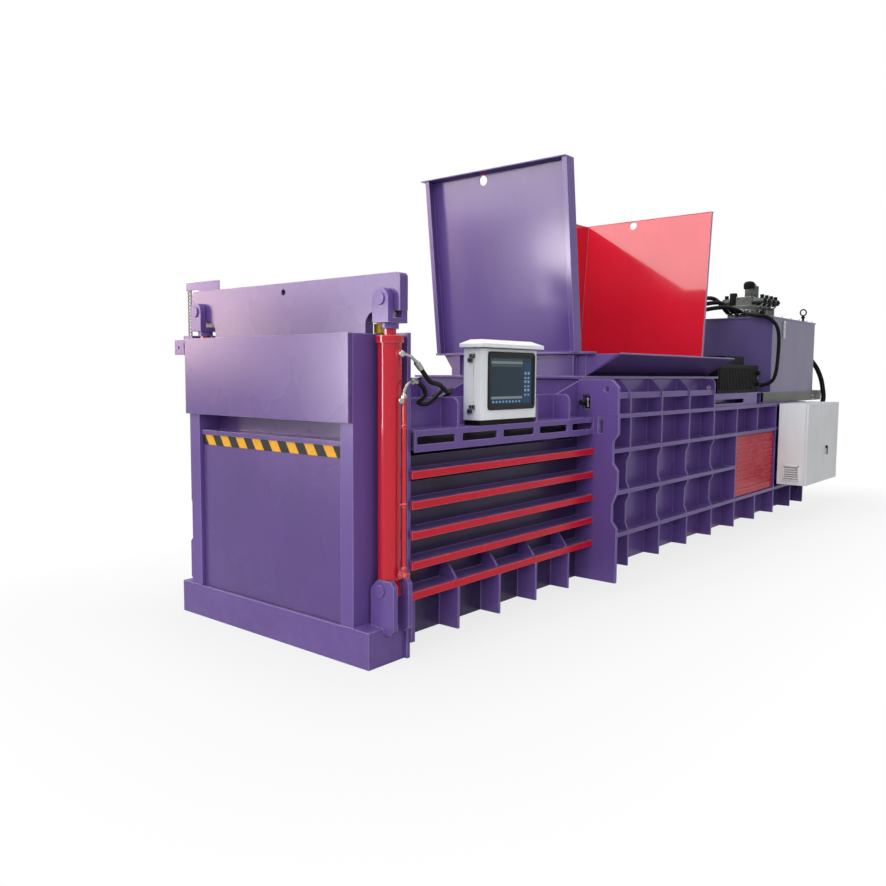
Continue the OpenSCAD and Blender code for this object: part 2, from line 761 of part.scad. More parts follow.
// Gussets, the rear lug and the rail above the long slots, all standing on the top shelf
module rib_tops() {
    foot = h1 + seat;
    gusset_y = rib_y - 3;
    gusset = [[wall_out, foot], [gusset_y, foot], [gusset_y, h1 + 162], [wall_out + 30, throat_top],
        [wall_out, throat_top]];
    lug_r = 50;
    lug = concat([[wall_out, foot], [gusset_y, foot]],
        arc(gusset_y - lug_r, throat_top - lug_r, lug_r, 0, 90, 8), [[wall_out, throat_top]]);
    half = rib_t / 2 + seat;
    starts = concat([press_x], [for (i = [0:bay_n - 1]) rib_xs[i] + half]);
    for (i = [0:bay_n - 1]) cross_plate(rib_xs[i] - rib_t / 2, rib_t, gusset);
    for (i = [0:bay_n])
        box(starts[i], rib_xs[i] - half, gusset_y - 28, gusset_y - 12, h1 + 115, h1 + 161);
    difference() {
        cross_plate(rib_xs[bay_n] - rib_t / 2, rib_t, lug);
        translate([rib_xs[bay_n] - rib_t, wall_out + 70, h1 + 180]) rotate([0, 90, 0])
            cylinder(d = lug_hole_d, h = 2 * rib_t);
    }
}
module rib_grid_near() {
    color(PURPLE) mirror([0, 1, 0]) rib_grid();
}
module rib_grid_far() {
    color(PURPLE) rib_grid();
}

// Deck behind the hopper, with slotted rails along both edges
module rear_deck() {
    x0 = feed_end + 40;
    t = 14;
    rail_x = rib_xs[bay_n] + rib_t / 2;
    rail_end = rib_xs[5];
    y1 = rib_y - 18;
    wall = 12;
    slot = 40;
    slot_z = h1 + 27;
    color(PURPLE) {
        box(x0, beam_x, -wall_out, wall_out, deck_z - t, deck_z);
        for (x = [x0, beam_x - t]) box(x, x + t, -wall_out, wall_out, h1, deck_z - t);
        box(beam_x, press_end, -beam_y + beam_w + seat, beam_y - beam_w - seat, h1, h1 + wall);
        both_sides() difference() {
            box(rail_x, rail_end, wall_out, y1, h1, deck_z);
            box(rail_x - eps, rail_end - wall, wall_out + wall, y1 - wall, h1 + wall, deck_z - wall);
            box(rail_x + 40, rail_x + 760, y1 - wall - eps, y1 + eps, slot_z, slot_z + slot);
        }
    }
}

module rear_end_plate() {
    hole_d = main_d + 2 * run_gap;
    color(PURPLE) difference() {
        box(press_end, press_end + end_t, -rib_y, rib_y, rib_z, h1);
        translate([press_end - eps, 0, ram_z]) rotate([0, 90, 0])
            cylinder(d = hole_d, h = end_t + 2 * eps, $fn = 96);
    }
}

// Red hatch with pressed rows, bolted into the rib grid
module hatch() {
    z0 = h4 + seat;
    z1 = h2 - shelf_t - seat;
    x0 = hatch_x + seat;
    x1 = hatch_end - seat;
    rows = 7;
    pitch = (z1 - z0) / rows;
    face = rib_y - 26;
    plate = 14;
    proud = 9;
    box(x0, x1, face - plate, face, z0, z1);
    for (i = [0:rows - 1])
        box(x0 + 12, x1 - 12, face, face + proud, z0 + i * pitch + 8, z0 + (i + 0.8) * pitch);
}
module access_hatches() {
    color(RED) both_sides() hatch();
}

// Throat between the press box and the hopper flange
module feed_throat() {
    skin = 14;
    x0 = press_x;
    x1 = feed_end + 40;
    inner = wall_in - seat;
    color(PURPLE) {
        // plate over the press box that carries the fixed blade
        box(x0, feed_x - 60, -inner, inner, roof_z - 14, h1 - seat);
        // hollow side walls, hollow front wall and plain back wall
        both_sides() upright_box(x0, x1, wall_in, wall_out, skin);
        upright_box(x0, feed_x, -inner, inner, skin);
        box(feed_end, x1, -inner, inner, h1, throat_top);
    }
}
// Four plates in a ring, open at the top and the bottom, between the press box and the hopper flange
module upright_box(x0, x1, y0, y1, skin) {
    difference() {
        box(x0, x1, y0, y1, h1, throat_top);
        box(x0 + skin, x1 - skin, y0 + skin, y1 - skin, h1 - eps, throat_top + eps);
    }
}

// Hopper pieces
neck_far = 560;
neck_near = wall_out - 72;
front_x = feed_x - 10;
back_x = feed_end + 8;
top_z = hopper_z + panel_h;
half_w = hopper_w / 2;
back_fold = 34;

module hopper_neck() {
    t = 12;
    bar = 20;
    edge = wall_out + 28;
    z0 = neck_z + seat;
    z1 = foot_z - seat;
    wall = [[-neck_near, z0], [neck_far, z0], [neck_far, neck_z + 26], [half_w, z1], [-neck_near, z1]];
    color(PURPLE) {
        // flange on the throat, of four flat bars
        box(joint_x, feed_x, -edge, edge, flange_z, neck_z);
        box(feed_end, back_x + 70, -edge, edge, flange_z, neck_z);
        both_sides() box(feed_x + seat, feed_end - seat, wall_in, edge, flange_z, neck_z);
        // front, back and far walls
        for (x = [front_x, back_x - t]) cross_plate(x, t, wall);
        box(front_x + t + seat, back_x - t - seat, neck_far - t, neck_far, z0, z1);
        // foot flange for the panels
        for (x = [[front_x - 70, front_x + t], [back_x - t, back_x + 70]])
            box(x[0], x[1], -neck_near - 80, half_w + 40, foot_z, hopper_z);
        box(front_x + t + seat, back_x - t - seat, neck_far - t, half_w + 40, foot_z, hopper_z);
        // stiffeners on the front and back walls
        for (y = [[-620, -608], [-20, -8], [neck_far - 96, neck_far - 10]])
            box(front_x - bar - 20, front_x - seat, y[0], y[1], z0, z1);
        for (i = [0:4]) box(back_x + seat, back_x + 40, -600 + i * 280, -588 + i * 280, z0, z1);
    }
}

// The lip flares out on the loading side, between two triangular end plates
module hopper_lip() {
    t = 10;
    y0 = neck_near;
    y1 = neck_near + lip_w;
    z1 = foot_z + 7;
    x0 = front_x + seat;
    x1 = back_x - seat;
    ramp = [[-y0, neck_z + seat], [-y0, neck_z + t + 3], [-y1 + 4, z1], [-y1, z1 - t]];
    end = [[-y0, neck_z + seat], [-y1 + 20, foot_z - seat], [-y0, foot_z - seat]];
    color(PURPLE) {
        cross_plate(x0 + t + seat, x1 - x0 - 2 * (t + seat), ramp);
        for (x = [x0, x1 - t]) cross_plate(x, t, end);
    }
}

// Flat panel with folded edges: the line runs from its foot to its top, and the folds point outwards
module leaning_panel(foot_x, lean, dir, depth, lip) {
    t = hopper_t;
    top_x = foot_x + lean;
    z1 = top_z - t - seat;
    a = seat + t;
    plate_pts = [[foot_x, hopper_z], [top_x, z1], [top_x + dir * t, z1], [foot_x + dir * t, hopper_z]];
    edge_pts = [[foot_x + dir * a, hopper_z], [top_x + dir * a, z1], [top_x + dir * depth, z1],
                [foot_x + dir * depth, hopper_z]];
    lip_pts = [[foot_x + dir * (depth - t), hopper_z], [top_x + dir * (depth - t), z1],
               [top_x + dir * depth, z1], [foot_x + dir * depth, hopper_z]];
    hole_z = top_z - t - 40;
    top_end = top_x + dir * (depth + 20);
    difference() {
        side_plate(-half_w, hopper_w, plate_pts);
        translate([foot_x + lean * (hole_z - hopper_z) / panel_h, 148, hole_z])
            rotate([0, 90 + atan(lean / panel_h), 0])
            translate([0, 0, -60]) cylinder(d = panel_hole_d, h = 120);
    }
    for (y = [-half_w, half_w - t]) side_plate(y, t, edge_pts);
    side_plate(-half_w + t, lip, lip_pts);
    side_plate(half_w - t - lip, lip, lip_pts);
    box(min(top_x, top_end), max(top_x, top_end), -half_w, half_w + 30, top_z - t, top_z);
}
module hopper_front() {
    color(LILAC) leaning_panel(front_x, -front_lean, -1, fold_d, 30);
}
module hopper_back() {
    color(RED) leaning_panel(back_x, back_lean, 1, back_fold, 14);
}
module hopper_side() {
    t = hopper_t;
    y0 = half_w + t + seat;
    color(RED) {
        side_plate(half_w, t, [[front_x + seat, hopper_z], [front_x - front_lean + seat, top_z - t - seat],
                               [back_x + back_lean - seat, top_z - t - seat], [back_x - seat, hopper_z]]);
        box(front_x - front_lean + 160, back_x + back_lean - 40, y0, y0 + 60, top_z - 2 * t - 40,
            top_z - t - 40);
        for (i = [0:3])
            box(front_x + 360 + i * 480, front_x + 368 + i * 480, y0, y0 + 60, hopper_z, top_z - 60);
    }
}

// Shear blades and the ram
ram_z = 712;
ram_x = feed_end + 12;
ram_end = ram_x + ram_len;
ram_y = wall_in - ram_gap;
ram_foot = sill_h + 14;
ram_top = roof_z - 22;
main_x = ram_x + 340;
main_bore = main_d - 60;
ram_pin_d = 80;
main_end = press_end + 600;
eye_x = ram_x + 170;

module fixed_knife() {
    color(STEEL) difference() {
        box(feed_x - 60, feed_x, -wall_in + seat, wall_in - seat, roof_z - 18, h1);
        for (i = [-3:3]) translate([feed_x - 34, i * 170, roof_z - 19]) cylinder(d = 18, h = 40);
    }
}

module ram() {
    t = ram_plate;
    tail = press_end - 60;
    lug_t = 60;
    color(PURPLE) difference() {
        union() {
            difference() {
                box(ram_x, ram_end, -ram_y, ram_y, ram_foot, ram_top);
                box(ram_x + t, ram_end + eps, -ram_y + t, ram_y - t, ram_foot + t, ram_top - t);
            }
            box(ram_end, tail, -ram_y, ram_y, ram_top - 16, ram_top);
            for (y = [-main_rod_d / 2 - 12 - lug_t, main_rod_d / 2 + 12])
                box(ram_x + t, eye_x + 90, y, y + lug_t, ram_z - 110, ram_z + 110);
            for (z = [ram_z - 250, ram_z + 220])
                box(ram_x + t, ram_x + t + 240, -ram_y + t, ram_y - t, z, z + 24);
        }
        translate([eye_x, -300, ram_z]) rotate([-90, 0, 0])
            cylinder(d = ram_pin_d + 2 * run_gap, h = 600, $fn = 72);
        // recess for the blade
        box(ram_x - eps, ram_x + 60, -ram_y - eps, ram_y + eps, ram_top - 20, ram_top + eps);
    }
}

// Blade on the ram's top front edge, and the shoes that it slides on
module ram_wear() {
    shoe_w = 110;
    color(STEEL) difference() {
        box(ram_x, ram_x + 60, -ram_y, ram_y, ram_top - 20, ram_top);
        for (i = [-3:3]) translate([ram_x + 32, i * 170, ram_top - 21]) cylinder(d = 18, h = 22);
    }
    color(STEEL) for (y = [-ram_y + 30, -shoe_w / 2, ram_y - 30 - shoe_w])
        box(ram_x + 20, ram_end - 20, y, y + shoe_w, sill_h + seat, ram_foot);
}

module main_rod() {
    eye_d = 170;
    piston_x = main_end - 168;
    color(STEEL) difference() {
        union() {
            translate([eye_x, main_rod_d / 2, ram_z]) rotate([90, 0, 0])
                cylinder(d = eye_d, h = main_rod_d, $fn = 72);
            translate([eye_x + 30, 0, ram_z]) rotate([0, 90, 0])
                cylinder(d = main_rod_d, h = piston_x - eye_x, $fn = 96);
            translate([piston_x, 0, ram_z]) rotate([0, 90, 0])
                cylinder(d = main_bore - 2 * run_gap, h = 100, $fn = 96);
        }
        translate([eye_x, -300, ram_z]) rotate([-90, 0, 0])
            cylinder(d = ram_pin_d + 2 * run_gap, h = 600, $fn = 72);
    }
}

module ram_pin() {
    reach = main_rod_d / 2 + 12 + 60 + run_gap;
    color(STEEL) translate([eye_x, 0, ram_z]) rotate([-90, 0, 0]) {
        translate([0, 0, -reach]) cylinder(d = ram_pin_d, h = 2 * reach, $fn = 72);
        for (s = [-reach - 10, reach]) translate([0, 0, s]) cylinder(d = 104, h = 10);
    }
}

module main_cylinder() {
    len = main_end - main_x;
    color(RED) difference() {
        translate([main_x, 0, ram_z]) rotate([0, 90, 0]) {
            cylinder(d = main_d, h = len, $fn = 96);
            cylinder(d = main_d + 50, h = 90, $fn = 96);
            translate([0, 0, press_end + end_t - main_x]) cylinder(d = main_d + 130, h = 50, $fn = 96);
            translate([0, 0, len - 40]) cylinder(d = main_d + 14, h = 40, $fn = 96);
        }
        translate([main_x + 110, 0, ram_z]) rotate([0, 90, 0])
            cylinder(d = main_bore, h = len - 170, $fn = 96);
        translate([main_x - eps, 0, ram_z]) rotate([0, 90, 0])
            cylinder(d = main_rod_d + 2 * run_gap, h = 200, $fn = 96);
    }
    color(RED) translate([main_end - 90, 0, ram_z + main_d / 2 - 6]) cylinder(d = 74, h = 46);
}

module cylinder_saddle() {
    x = press_end - 420;
    t = 30;
    color(PURPLE) difference() {
        union() {
            box(x, x + t, -240, 240, sill_h, ram_z);
            box(x - 60, x + t + 60, -240, 240, sill_h, sill_h + 20);
        }
        translate([x - 1, 0, ram_z]) rotate([0, 90, 0])
            cylinder(d = main_d + 2 * seat, h = t + 2, $fn = 96);
    }
}

// Control box, open at the front behind its door
box_x = 870;
box_y = wall_out + 1 + box_d;
box_base = 30;
box_z = top_shelf_z + box_base;
door_t = 56;
box_back = box_y - box_d;
hinge_zs = [box_z + 42, box_z + box_h - 82];
hinge_y = -box_y + door_t + 10;
hinge_r = 10;
leaf_h = 24;
win_edge = [70, 24, 22, 62];

module control_base() {
    color(DARK) difference() {
        box(box_x + 12, box_x + box_w - 12, -box_y + 8, -box_back, top_shelf_z, box_z);
        box(box_x + 40, box_x + box_w - 40, -box_y + 20, -box_back + eps, top_shelf_z + 12, box_z - 12);
    }
}

module control_box() {
    y0 = -box_y + door_t;
    y1 = -box_back;
    t = box_t;
    color(PALE) difference() {
        box(box_x, box_x + box_w, y0, y1, box_z, box_z + box_h);
        box(box_x + t, box_x + box_w - t, y0 - eps, y1 - t, box_z + t, box_z + box_h - t);
    }
    // fixed halves of the two hinges
    color(DARK) for (z = hinge_zs) translate([box_x - hinge_r, hinge_y, z]) difference() {
        union() {
            cylinder(r = hinge_r, h = leaf_h, $fn = 32);
            cube([hinge_r, 26, leaf_h]);
        }
        translate([0, 0, -1]) cylinder(d = 6 + 2 * run_gap, h = leaf_h + 2, $fn = 32);
    }
}

module rain_hood() {
    z0 = box_z + box_h;
    y0 = -box_y - hood_out;
    y1 = -box_back;
    x0 = box_x - hood_out;
    x1 = box_x + box_w + hood_out;
    lip = 26;
    rise = 26;
    color(PALE) difference() {
        hull() {
            box(x0, x1, y0, y1 + 8, z0 + 4, z0 + lip);
            box(x0 + 70, x1 - 70, y0 + 50, y1 - 20, z0 + lip + rise - 2, z0 + lip + rise);
        }
        box(x0 + 4, x1 - 4, y0 + 4, y1 + 4, z0 - 1, z0 + lip - 4);
    }
    color(PALE) box(box_x + 20, box_x + box_w - 20, -box_y + door_t + 10, y1 - 10, z0, z0 + lip - 4);
}

module control_door() {
    y0 = -box_y;
    y1 = -box_y + door_t - 1;
    color(PALE) difference() {
        box(box_x + 1, box_x + box_w - 1, y0, y1, box_z + 1, box_z + box_h - 1);
        box(box_x + 6, box_x + box_w - 6, y0 + 4, y1 + eps, box_z + 6, box_z + box_h - 6);
        box(box_x + win_edge[0], box_x + box_w - win_edge[1], y0 - eps, y1, box_z + win_edge[3],
            box_z + box_h - win_edge[2]);
    }
    color(DARK) for (z = hinge_zs) translate([box_x - hinge_r, hinge_y, z + leaf_h + seat]) {
        cylinder(r = hinge_r, h = leaf_h, $fn = 32);
        translate([-1, -24, 0]) cube([hinge_r - 1, 24, leaf_h]);
        translate([-1, -24, 0]) cube([hinge_r + 3, 10, leaf_h]);
        translate([0, 0, -leaf_h - 1]) cylinder(d = 6, h = leaf_h + 2, $fn = 32);
    }
}

module touch_screen() {
    x0 = box_x + win_edge[0] + seat;
    x1 = box_x + box_w - win_edge[1] - seat;
    z0 = box_z + win_edge[3] + seat;
    z1 = box_z + box_h - win_edge[2] - seat;
    bezel = 26;
    y0 = -box_y;
    color(DARK) difference() {
        box(x0, x1, y0 - 4, y0 + 16, z0, z1);
        box(x0 + bezel, x1 - bezel, y0 - 4 - eps, y0, z0 + bezel, z1 - bezel);
    }
}

// Power unit
module tank_beams() {
    t = 8;
    end = beam_x + beam_len;
    inner = beam_y - beam_w - seat;
    color(STEEL) {
        both_sides() difference() {
            box(beam_x, end, beam_y - beam_w, beam_y, h1, h1 + beam_h);
            box(beam_x - eps, end - t, beam_y - beam_w + t, beam_y - t, h1 + t, h1 + beam_h - t);
        }
        for (x = [tank_x + 60, tank_x + tank_len - 140])
            box(x, x + 80, -inner, inner, h1 + 40, h1 + beam_h);
    }
}

module oil_tank() {
    t = 6;
    over = 10;
    color(PURPLE) translate([tank_x + tank_len, -640, 1810]) rotate([0, 90, 0]) cylinder(d = 84, h = 24);
    color(PURPLE) {
        difference() {
            box(tank_x, tank_x + tank_len, -tank_w / 2, tank_w / 2, tank_z, tank_z + tank_h);
            box(tank_x + t, tank_x + tank_len - t, -tank_w / 2 + t, tank_w / 2 - t, tank_z + t,
                tank_z + tank_h - t);
        }
        box(tank_x - over, tank_x + tank_len + over, -tank_w / 2 - over, tank_w / 2 + over, lid_z - lid_t,
            lid_z);
    }
}
lid_t = 14;
lid_z = tank_z + tank_h + lid_t;

module level_gauge() {
    x = tank_x + 360;
    y = -tank_w / 2;
    z = tank_z + tank_h - 208;
    color(PALE) {
        box(x - 16, x + 16, y - 14, y, z, z + 190);
        for (dz = [22, 168]) translate([x, y - 14, z + dz]) rotate([90, 0, 0])
            cylinder(d = 18, h = 8, $fn = 6);
    }
}

module tank_breather() {
    color(DARK) translate([tank_x + tank_len - 170, -tank_w / 2 + 90, lid_z]) {
        cylinder(d = 62, h = 20);
        translate([0, 0, 20]) cylinder(d = 40, h = 60);
        translate([0, 0, 80]) cylinder(d = 96, h = 70);
        translate([0, 0, 150]) cylinder(d = 60, h = 16);
    }
}

// Block of valves with solenoids on top and ports on its front
mani_x = tank_x + 470;
port_len = 40;
mani_y = -440;
module valve_manifold() {
    len = 640;
    h = 170;
    color(STEEL) {
        box(mani_x, mani_x + len, mani_y, mani_y + 320, lid_z, lid_z + h);
        for (i = [0:3]) {
            box(mani_x + 30 + i * 150, mani_x + 130 + i * 150, mani_y + 60, mani_y + 260, lid_z + h,
                lid_z + h + 100);
            for (y = [mani_y - 70, mani_y + 259]) translate([mani_x + 80 + i * 150, y, lid_z + h + 52])
                rotate([-90, 0, 0])
                cylinder(d = 68, h = 131);
        }
        for (x = [mani_x + 230, mani_x + 400]) translate([x, mani_y + 160, lid_z + h])
            cylinder(d = 96, h = 250);
        for (i = [0:3]) translate([mani_x - port_len, mani_y + 50 + i * 74, lid_z + 90]) rotate([0, 90, 0])
            cylinder(d = 58, h = port_len);
    }
}

cooler_end = feed_end + 270 + cooler_len;
module oil_cooler() {
    x0 = cooler_end - cooler_len;
    x1 = cooler_end;
    y0 = -720;
    y1 = -280;
    color(DARK) {
        box(x0, x1, y0, y1, deck_z, deck_z + cooler_h);
        box(x0 + 330, x1 - 260, y0 + 60, y1 - 40, deck_z + cooler_h, deck_z + cooler_h + 90);
        for (i = [0:22]) box(x0 + 40 + i * 40, x0 + 56 + i * 40, y0 - 10, y0, deck_z + 30,
            deck_z + cooler_h - 30);
        translate([x1, -640, deck_z + 80]) rotate([0, 90, 0]) cylinder(d = 64, h = 30);
        for (z = [deck_z + 80, deck_z + 200]) translate([x1 - 50, y0, z]) rotate([90, 0, 0])
            cylinder(d = 44, h = 40);
    }
}

pump_port_x = feed_end + 980;
pump_port_y = 230;
pump_port_z = deck_z + 385;
module pump_motor() {
    x0 = feed_end + 260;
    y = 330;
    r = 190;
    z = deck_z + r + 40;
    color(DARK) {
        translate([x0, y, z]) rotate([0, 90, 0]) difference() {
            cylinder(r = r, h = 640, $fn = 72);
            for (a = [0:15:345]) rotate([0, 0, a]) translate([r - 14, -4, 40]) cube([20, 8, 560]);
        }
        translate([x0 + 640, y, z]) rotate([0, 90, 0]) cylinder(r = 130, h = 150, $fn = 48);
        translate([x0 + 790, y, z]) rotate([0, 90, 0]) cylinder(r = 84, h = 210, $fn = 48);
        box(x0 + 60, x0 + 160, y - 150, y + 150, deck_z, z - 150);
        box(x0 + 480, x0 + 580, y - 150, y + 150, deck_z, z - 150);
        box(x0 + 220, x0 + 430, y - 80, y + 80, z + r - 20, z + r + 90);
        // port block on the pump
        box(pump_port_x - 50, pump_port_x + 50, pump_port_y - 40, pump_port_y + 220, z + 60, pump_port_z);
    }
}

// Electrical cabinet on brackets beside the rear of the press box
cab_x = 6100;
cab_back = 920;
cab_front = cab_back + cab_d;
cab_z = h1 - 4 - cab_h;
cab_door_t = 24;
module cabinet() {
    t = cab_t;
    y0 = -cab_front + cab_door_t;
    y1 = -cab_back;
    color(PALE) difference() {
        box(cab_x, cab_x + cab_w, y0, y1, cab_z, cab_z + cab_h);
        box(cab_x + t, cab_x + cab_w - t, y0 - eps, y1 - t, cab_z + t, cab_z + cab_h - t);
        // louvre slots low on the end wall
        for (i = [0:5]) box(cab_x - eps, cab_x + t + eps, y0 + 60, y0 + 200, cab_z + 60 + i * 24,
            cab_z + 68 + i * 24);
    }
    for (i = [0:5]) color(PALE)
        box(cab_x - 8, cab_x, y0 + 60, y0 + 200, cab_z + 68 + i * 24, cab_z + 74 + i * 24);
    // fixed halves of the hinges
    color(PALE) for (z = cab_hinge_zs) translate([cab_x + cab_w + 8, -cab_front + cab_door_t + 8, z])
        difference() {
        union() {
            cylinder(d = 14, h = 30, $fn = 32);
            translate([-8, 0, 0]) cube([8, 30, 30]);
        }
        translate([0, 0, -1]) cylinder(d = 6 + 2 * run_gap, h = 32, $fn = 32);
    }
    for (z = [cab_z + 90, cab_z + cab_h - 150]) color(PALE) difference() {
        box(cab_x + 60, press_end - 30, -cab_back, -rib_y - seat, z, z + 50);
        box(cab_x + 60 - eps, press_end - 30 + eps, -cab_back - eps, -rib_y - seat - 5, z + 5, z + 45);
    }
}
lock_x = cab_x + 680;
lock_z = cab_z + cab_h / 2 - 55;
cab_hinge_zs = [cab_z + 90, cab_z + cab_h - 150];
module cabinet_door() {
    y0 = -cab_front;
    y1 = -cab_front + cab_door_t - 1;
    color(PALE) difference() {
        box(cab_x + 1, cab_x + cab_w - 1, y0, y1, cab_z + 1, cab_z + cab_h - 1);
        box(cab_x + 8, cab_x + cab_w - 8, y0 + 4, y1 + eps, cab_z + 8, cab_z + cab_h - 8);
        translate([lock_x, y0 - eps, lock_z]) rotate([-90, 0, 0]) cylinder(d = 18 + 2 * run_gap, h = 8);
    }
    // moving halves of the hinges, with their pins
    color(PALE) for (z = cab_hinge_zs)
        translate([cab_x + cab_w + 8, -cab_front + cab_door_t + 8, z + 30 + seat]) {
        cylinder(d = 14, h = 30, $fn = 32);
        translate([-9, -26, 0]) cube([9, 16, 30]);
        translate([-6, -26, 0]) cube([6, 26, 30]);
        translate([0, 0, -31]) cylinder(d = 6, h = 32, $fn = 32);
    }
}
module cabinet_handle() {
    color(DARK) {
        translate([lock_x, -cab_front - 12, lock_z]) rotate([-90, 0, 0]) cylinder(d = 18, h = 32);
        translate([lock_x, -cab_front - 12, lock_z]) rotate([-90, 0, 0]) cylinder(d = 32, h = 12 - seat);
        box(lock_x - 8, lock_x + 8, -cab_front - 20, -cab_front - 12, lock_z - 84, lock_z + 12);
        box(lock_x - 26, lock_x + 8, -cab_front + 16, -cab_front + 20, lock_z - 8, lock_z + 8);
    }
}

// Hoses: a ring is swept along points chosen by hand; its frame is carried along, so the tube doesn't twist
function unit(v) = v / norm(v);
function tangent(p, i) = i == 0 ? unit(p[1] - p[0]) : i == len(p) - 1 ? unit(p[i] - p[i - 1])
    : unit(unit(p[i + 1] - p[i]) + unit(p[i] - p[i - 1]));
function side_of(t) = unit(cross(t, abs(t[2]) > 0.9 ? [1, 0, 0] : [0, 0, 1]));
function carry(p, i, n) = i >= len(p) ? [] : let (t = tangent(p, i),
    m = unit(n - t * (n * t))) concat([m], carry(p, i + 1, m));
module hose(p, d) {
    sides = 8;
    m = len(p);
    ns = carry(p, 0, side_of(tangent(p, 0)));
    rings = [for (i = [0:m - 1]) let (n = ns[i], b = cross(tangent(p, i), n)) for (s = [0:sides - 1])
        p[i] + d / 2 * (cos(s * 360 / sides) * n + sin(s * 360 / sides) * b)];
    walls = [for (i = [0:m - 2]) for (s = [0:sides - 1])
        let (a = i * sides + s, b = i * sides + (s + 1) % sides) [a + sides, b + sides, b, a]];
    near = [for (s = [0:sides - 1]) s];
    far = [for (s = [sides - 1:-1:0]) (m - 1) * sides + s];
    polyhedron(rings, concat(walls, [near, far]));
}

// From the top port of each lift cylinder, and from the head of each pipe, to a block on the chamber roof
port_z = gland_z - port_drop;
port_y = cyl_y + barrel_d / 2 + 14;
lift_a = [[cyl_x, port_y + seat, port_z], [cyl_x, port_y + 18, port_z],
          [cyl_x + 58, port_y + 28, port_z - 20], [310, 924, 1580], [394, 920, 1508],
          [500, 902, 1486], [600, 868, 1450], [740, 790, 1452],
          [840, 600, 1372], [840, 600, junction_z + seat]];
lift_b = [[cyl_x, pipe_y, pipe_top + 20 + seat], [cyl_x, pipe_y, pipe_top + 56],
          [cyl_x + 32, pipe_y - 4, pipe_top + 96], [300, 896, 1506], [384, 876, 1480], [414, 870, 1432],
          [376, 858, 1392], [500, 822, 1386], [640, 790, 1452], [740, 600, 1372],
          [740, 600, junction_z + seat]];
module lift_hoses() {
    hose_d = 26;
    color(DARK) both_sides() {
        hose(lift_a, hose_d);
        hose(lift_b, hose_d);
    }
}

// Hoses of the power unit: from the valves along the front edge of the tank and down to the cooler, from
// the rear of the tank to the main cylinder, and from the valves forward to the pump
valve_x = mani_x - port_len - seat;
valve_z = lid_z + 90;
cool_port = [cooler_end + 30 + seat, -640, deck_z + 80];
cyl_port = [main_end - 90, 0, ram_z + main_d / 2 + 40 + seat];
tank_port = [tank_x + tank_len + 24 + seat, -640, 1810];
front_hose = [[valve_x, mani_y + 50, valve_z], [valve_x - 80, mani_y + 50, valve_z],
              [tank_x + 60, mani_y - 60, lid_z + 44], [tank_x - 40, -640, lid_z + 14],
              [tank_x - 44, -770, lid_z - 16], [tank_x - 28, -864, 2040], [tank_x - 14, -872, 1780],
              [tank_x - 40, -846, 1520], [tank_x - 60, -730, 1448], [cool_port[0] + 44, -640, cool_port[2]],
              cool_port];
rear_hose = [tank_port, [tank_port[0] + 60, -640, 1810], [tank_port[0] + 166, -700, 1760],
             [tank_port[0] + 242, -780, 1620], [tank_port[0] + 262, -838, 1420],
             [tank_port[0] + 216, -844, 1200], [tank_port[0] + 66, -620, 1060], [cyl_port[0], 0, 980],
             cyl_port];
function bundle(i) = [[valve_x, mani_y + 124 + i * 74, valve_z],
    [valve_x - 100, mani_y + 124 + i * 74, valve_z],
    [valve_x - 440, mani_y + 170 + i * 80, lid_z + 120 + i * 54],
    [valve_x - 790, mani_y + 400 + i * 88, lid_z + 30 + i * 34],
    [pump_port_x, pump_port_y + i * 90, pump_port_z + 190],
    [pump_port_x, pump_port_y + i * 90, pump_port_z + seat]];
module tank_hoses() {
    color(DARK) {
        hose(front_hose, 38);
        hose(rear_hose, 56);
        for (i = [0:2]) hose(bundle(i), 46);
    }
}

sill();
gate_posts();
gate_cover();
rear_flange();
base_rails();
chamber_floor();
chamber_roof();
tie_beams();
tie_bars();
chamber_ribs();
top_beams();
joint_plate();
press_walls();
rib_grid_near();
rib_grid_far();
rear_deck();
rear_end_plate();
access_hatches();
feed_throat();
hopper_neck();
hopper_lip();
hopper_front();
hopper_back();
hopper_side();
fixed_knife();
base_clevises();
base_pins();
lift_barrels();
lift_pipes();
lift_hoses();
limit_switch();
rack_guide();
main_cylinder();
cylinder_saddle();
control_base();
control_box();
rain_hood();
tank_beams();
oil_tank();
level_gauge();
tank_breather();
valve_manifold();
oil_cooler();
pump_motor();
tank_hoses();
cabinet();
gate();
hazard_strip();
lift_rods();
rod_clevises();
clevis_pins();
position_rack();
ram();
ram_wear();
main_rod();
ram_pin();
control_door();
touch_screen();
cabinet_door();
cabinet_handle();
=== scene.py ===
"""Recycling baler: paint, hoses, weld seams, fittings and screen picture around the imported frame."""
import math
import random

import bmesh
import bpy
from mathutils import Matrix, Vector


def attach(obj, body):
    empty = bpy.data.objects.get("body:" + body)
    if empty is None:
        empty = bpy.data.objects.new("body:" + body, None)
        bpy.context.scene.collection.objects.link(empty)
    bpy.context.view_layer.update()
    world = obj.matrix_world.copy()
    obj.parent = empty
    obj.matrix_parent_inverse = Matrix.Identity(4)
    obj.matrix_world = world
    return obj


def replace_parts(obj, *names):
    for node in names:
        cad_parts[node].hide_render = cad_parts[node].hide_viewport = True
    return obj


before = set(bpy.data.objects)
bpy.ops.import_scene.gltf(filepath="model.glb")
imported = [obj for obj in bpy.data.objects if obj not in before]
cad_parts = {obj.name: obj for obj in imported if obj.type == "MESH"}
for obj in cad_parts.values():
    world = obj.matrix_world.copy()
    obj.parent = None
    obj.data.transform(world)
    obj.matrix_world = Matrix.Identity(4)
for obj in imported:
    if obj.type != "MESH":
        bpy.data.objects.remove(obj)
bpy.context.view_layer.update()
random.seed(11)

MM = 0.001
IMAGE_SIDE = 886


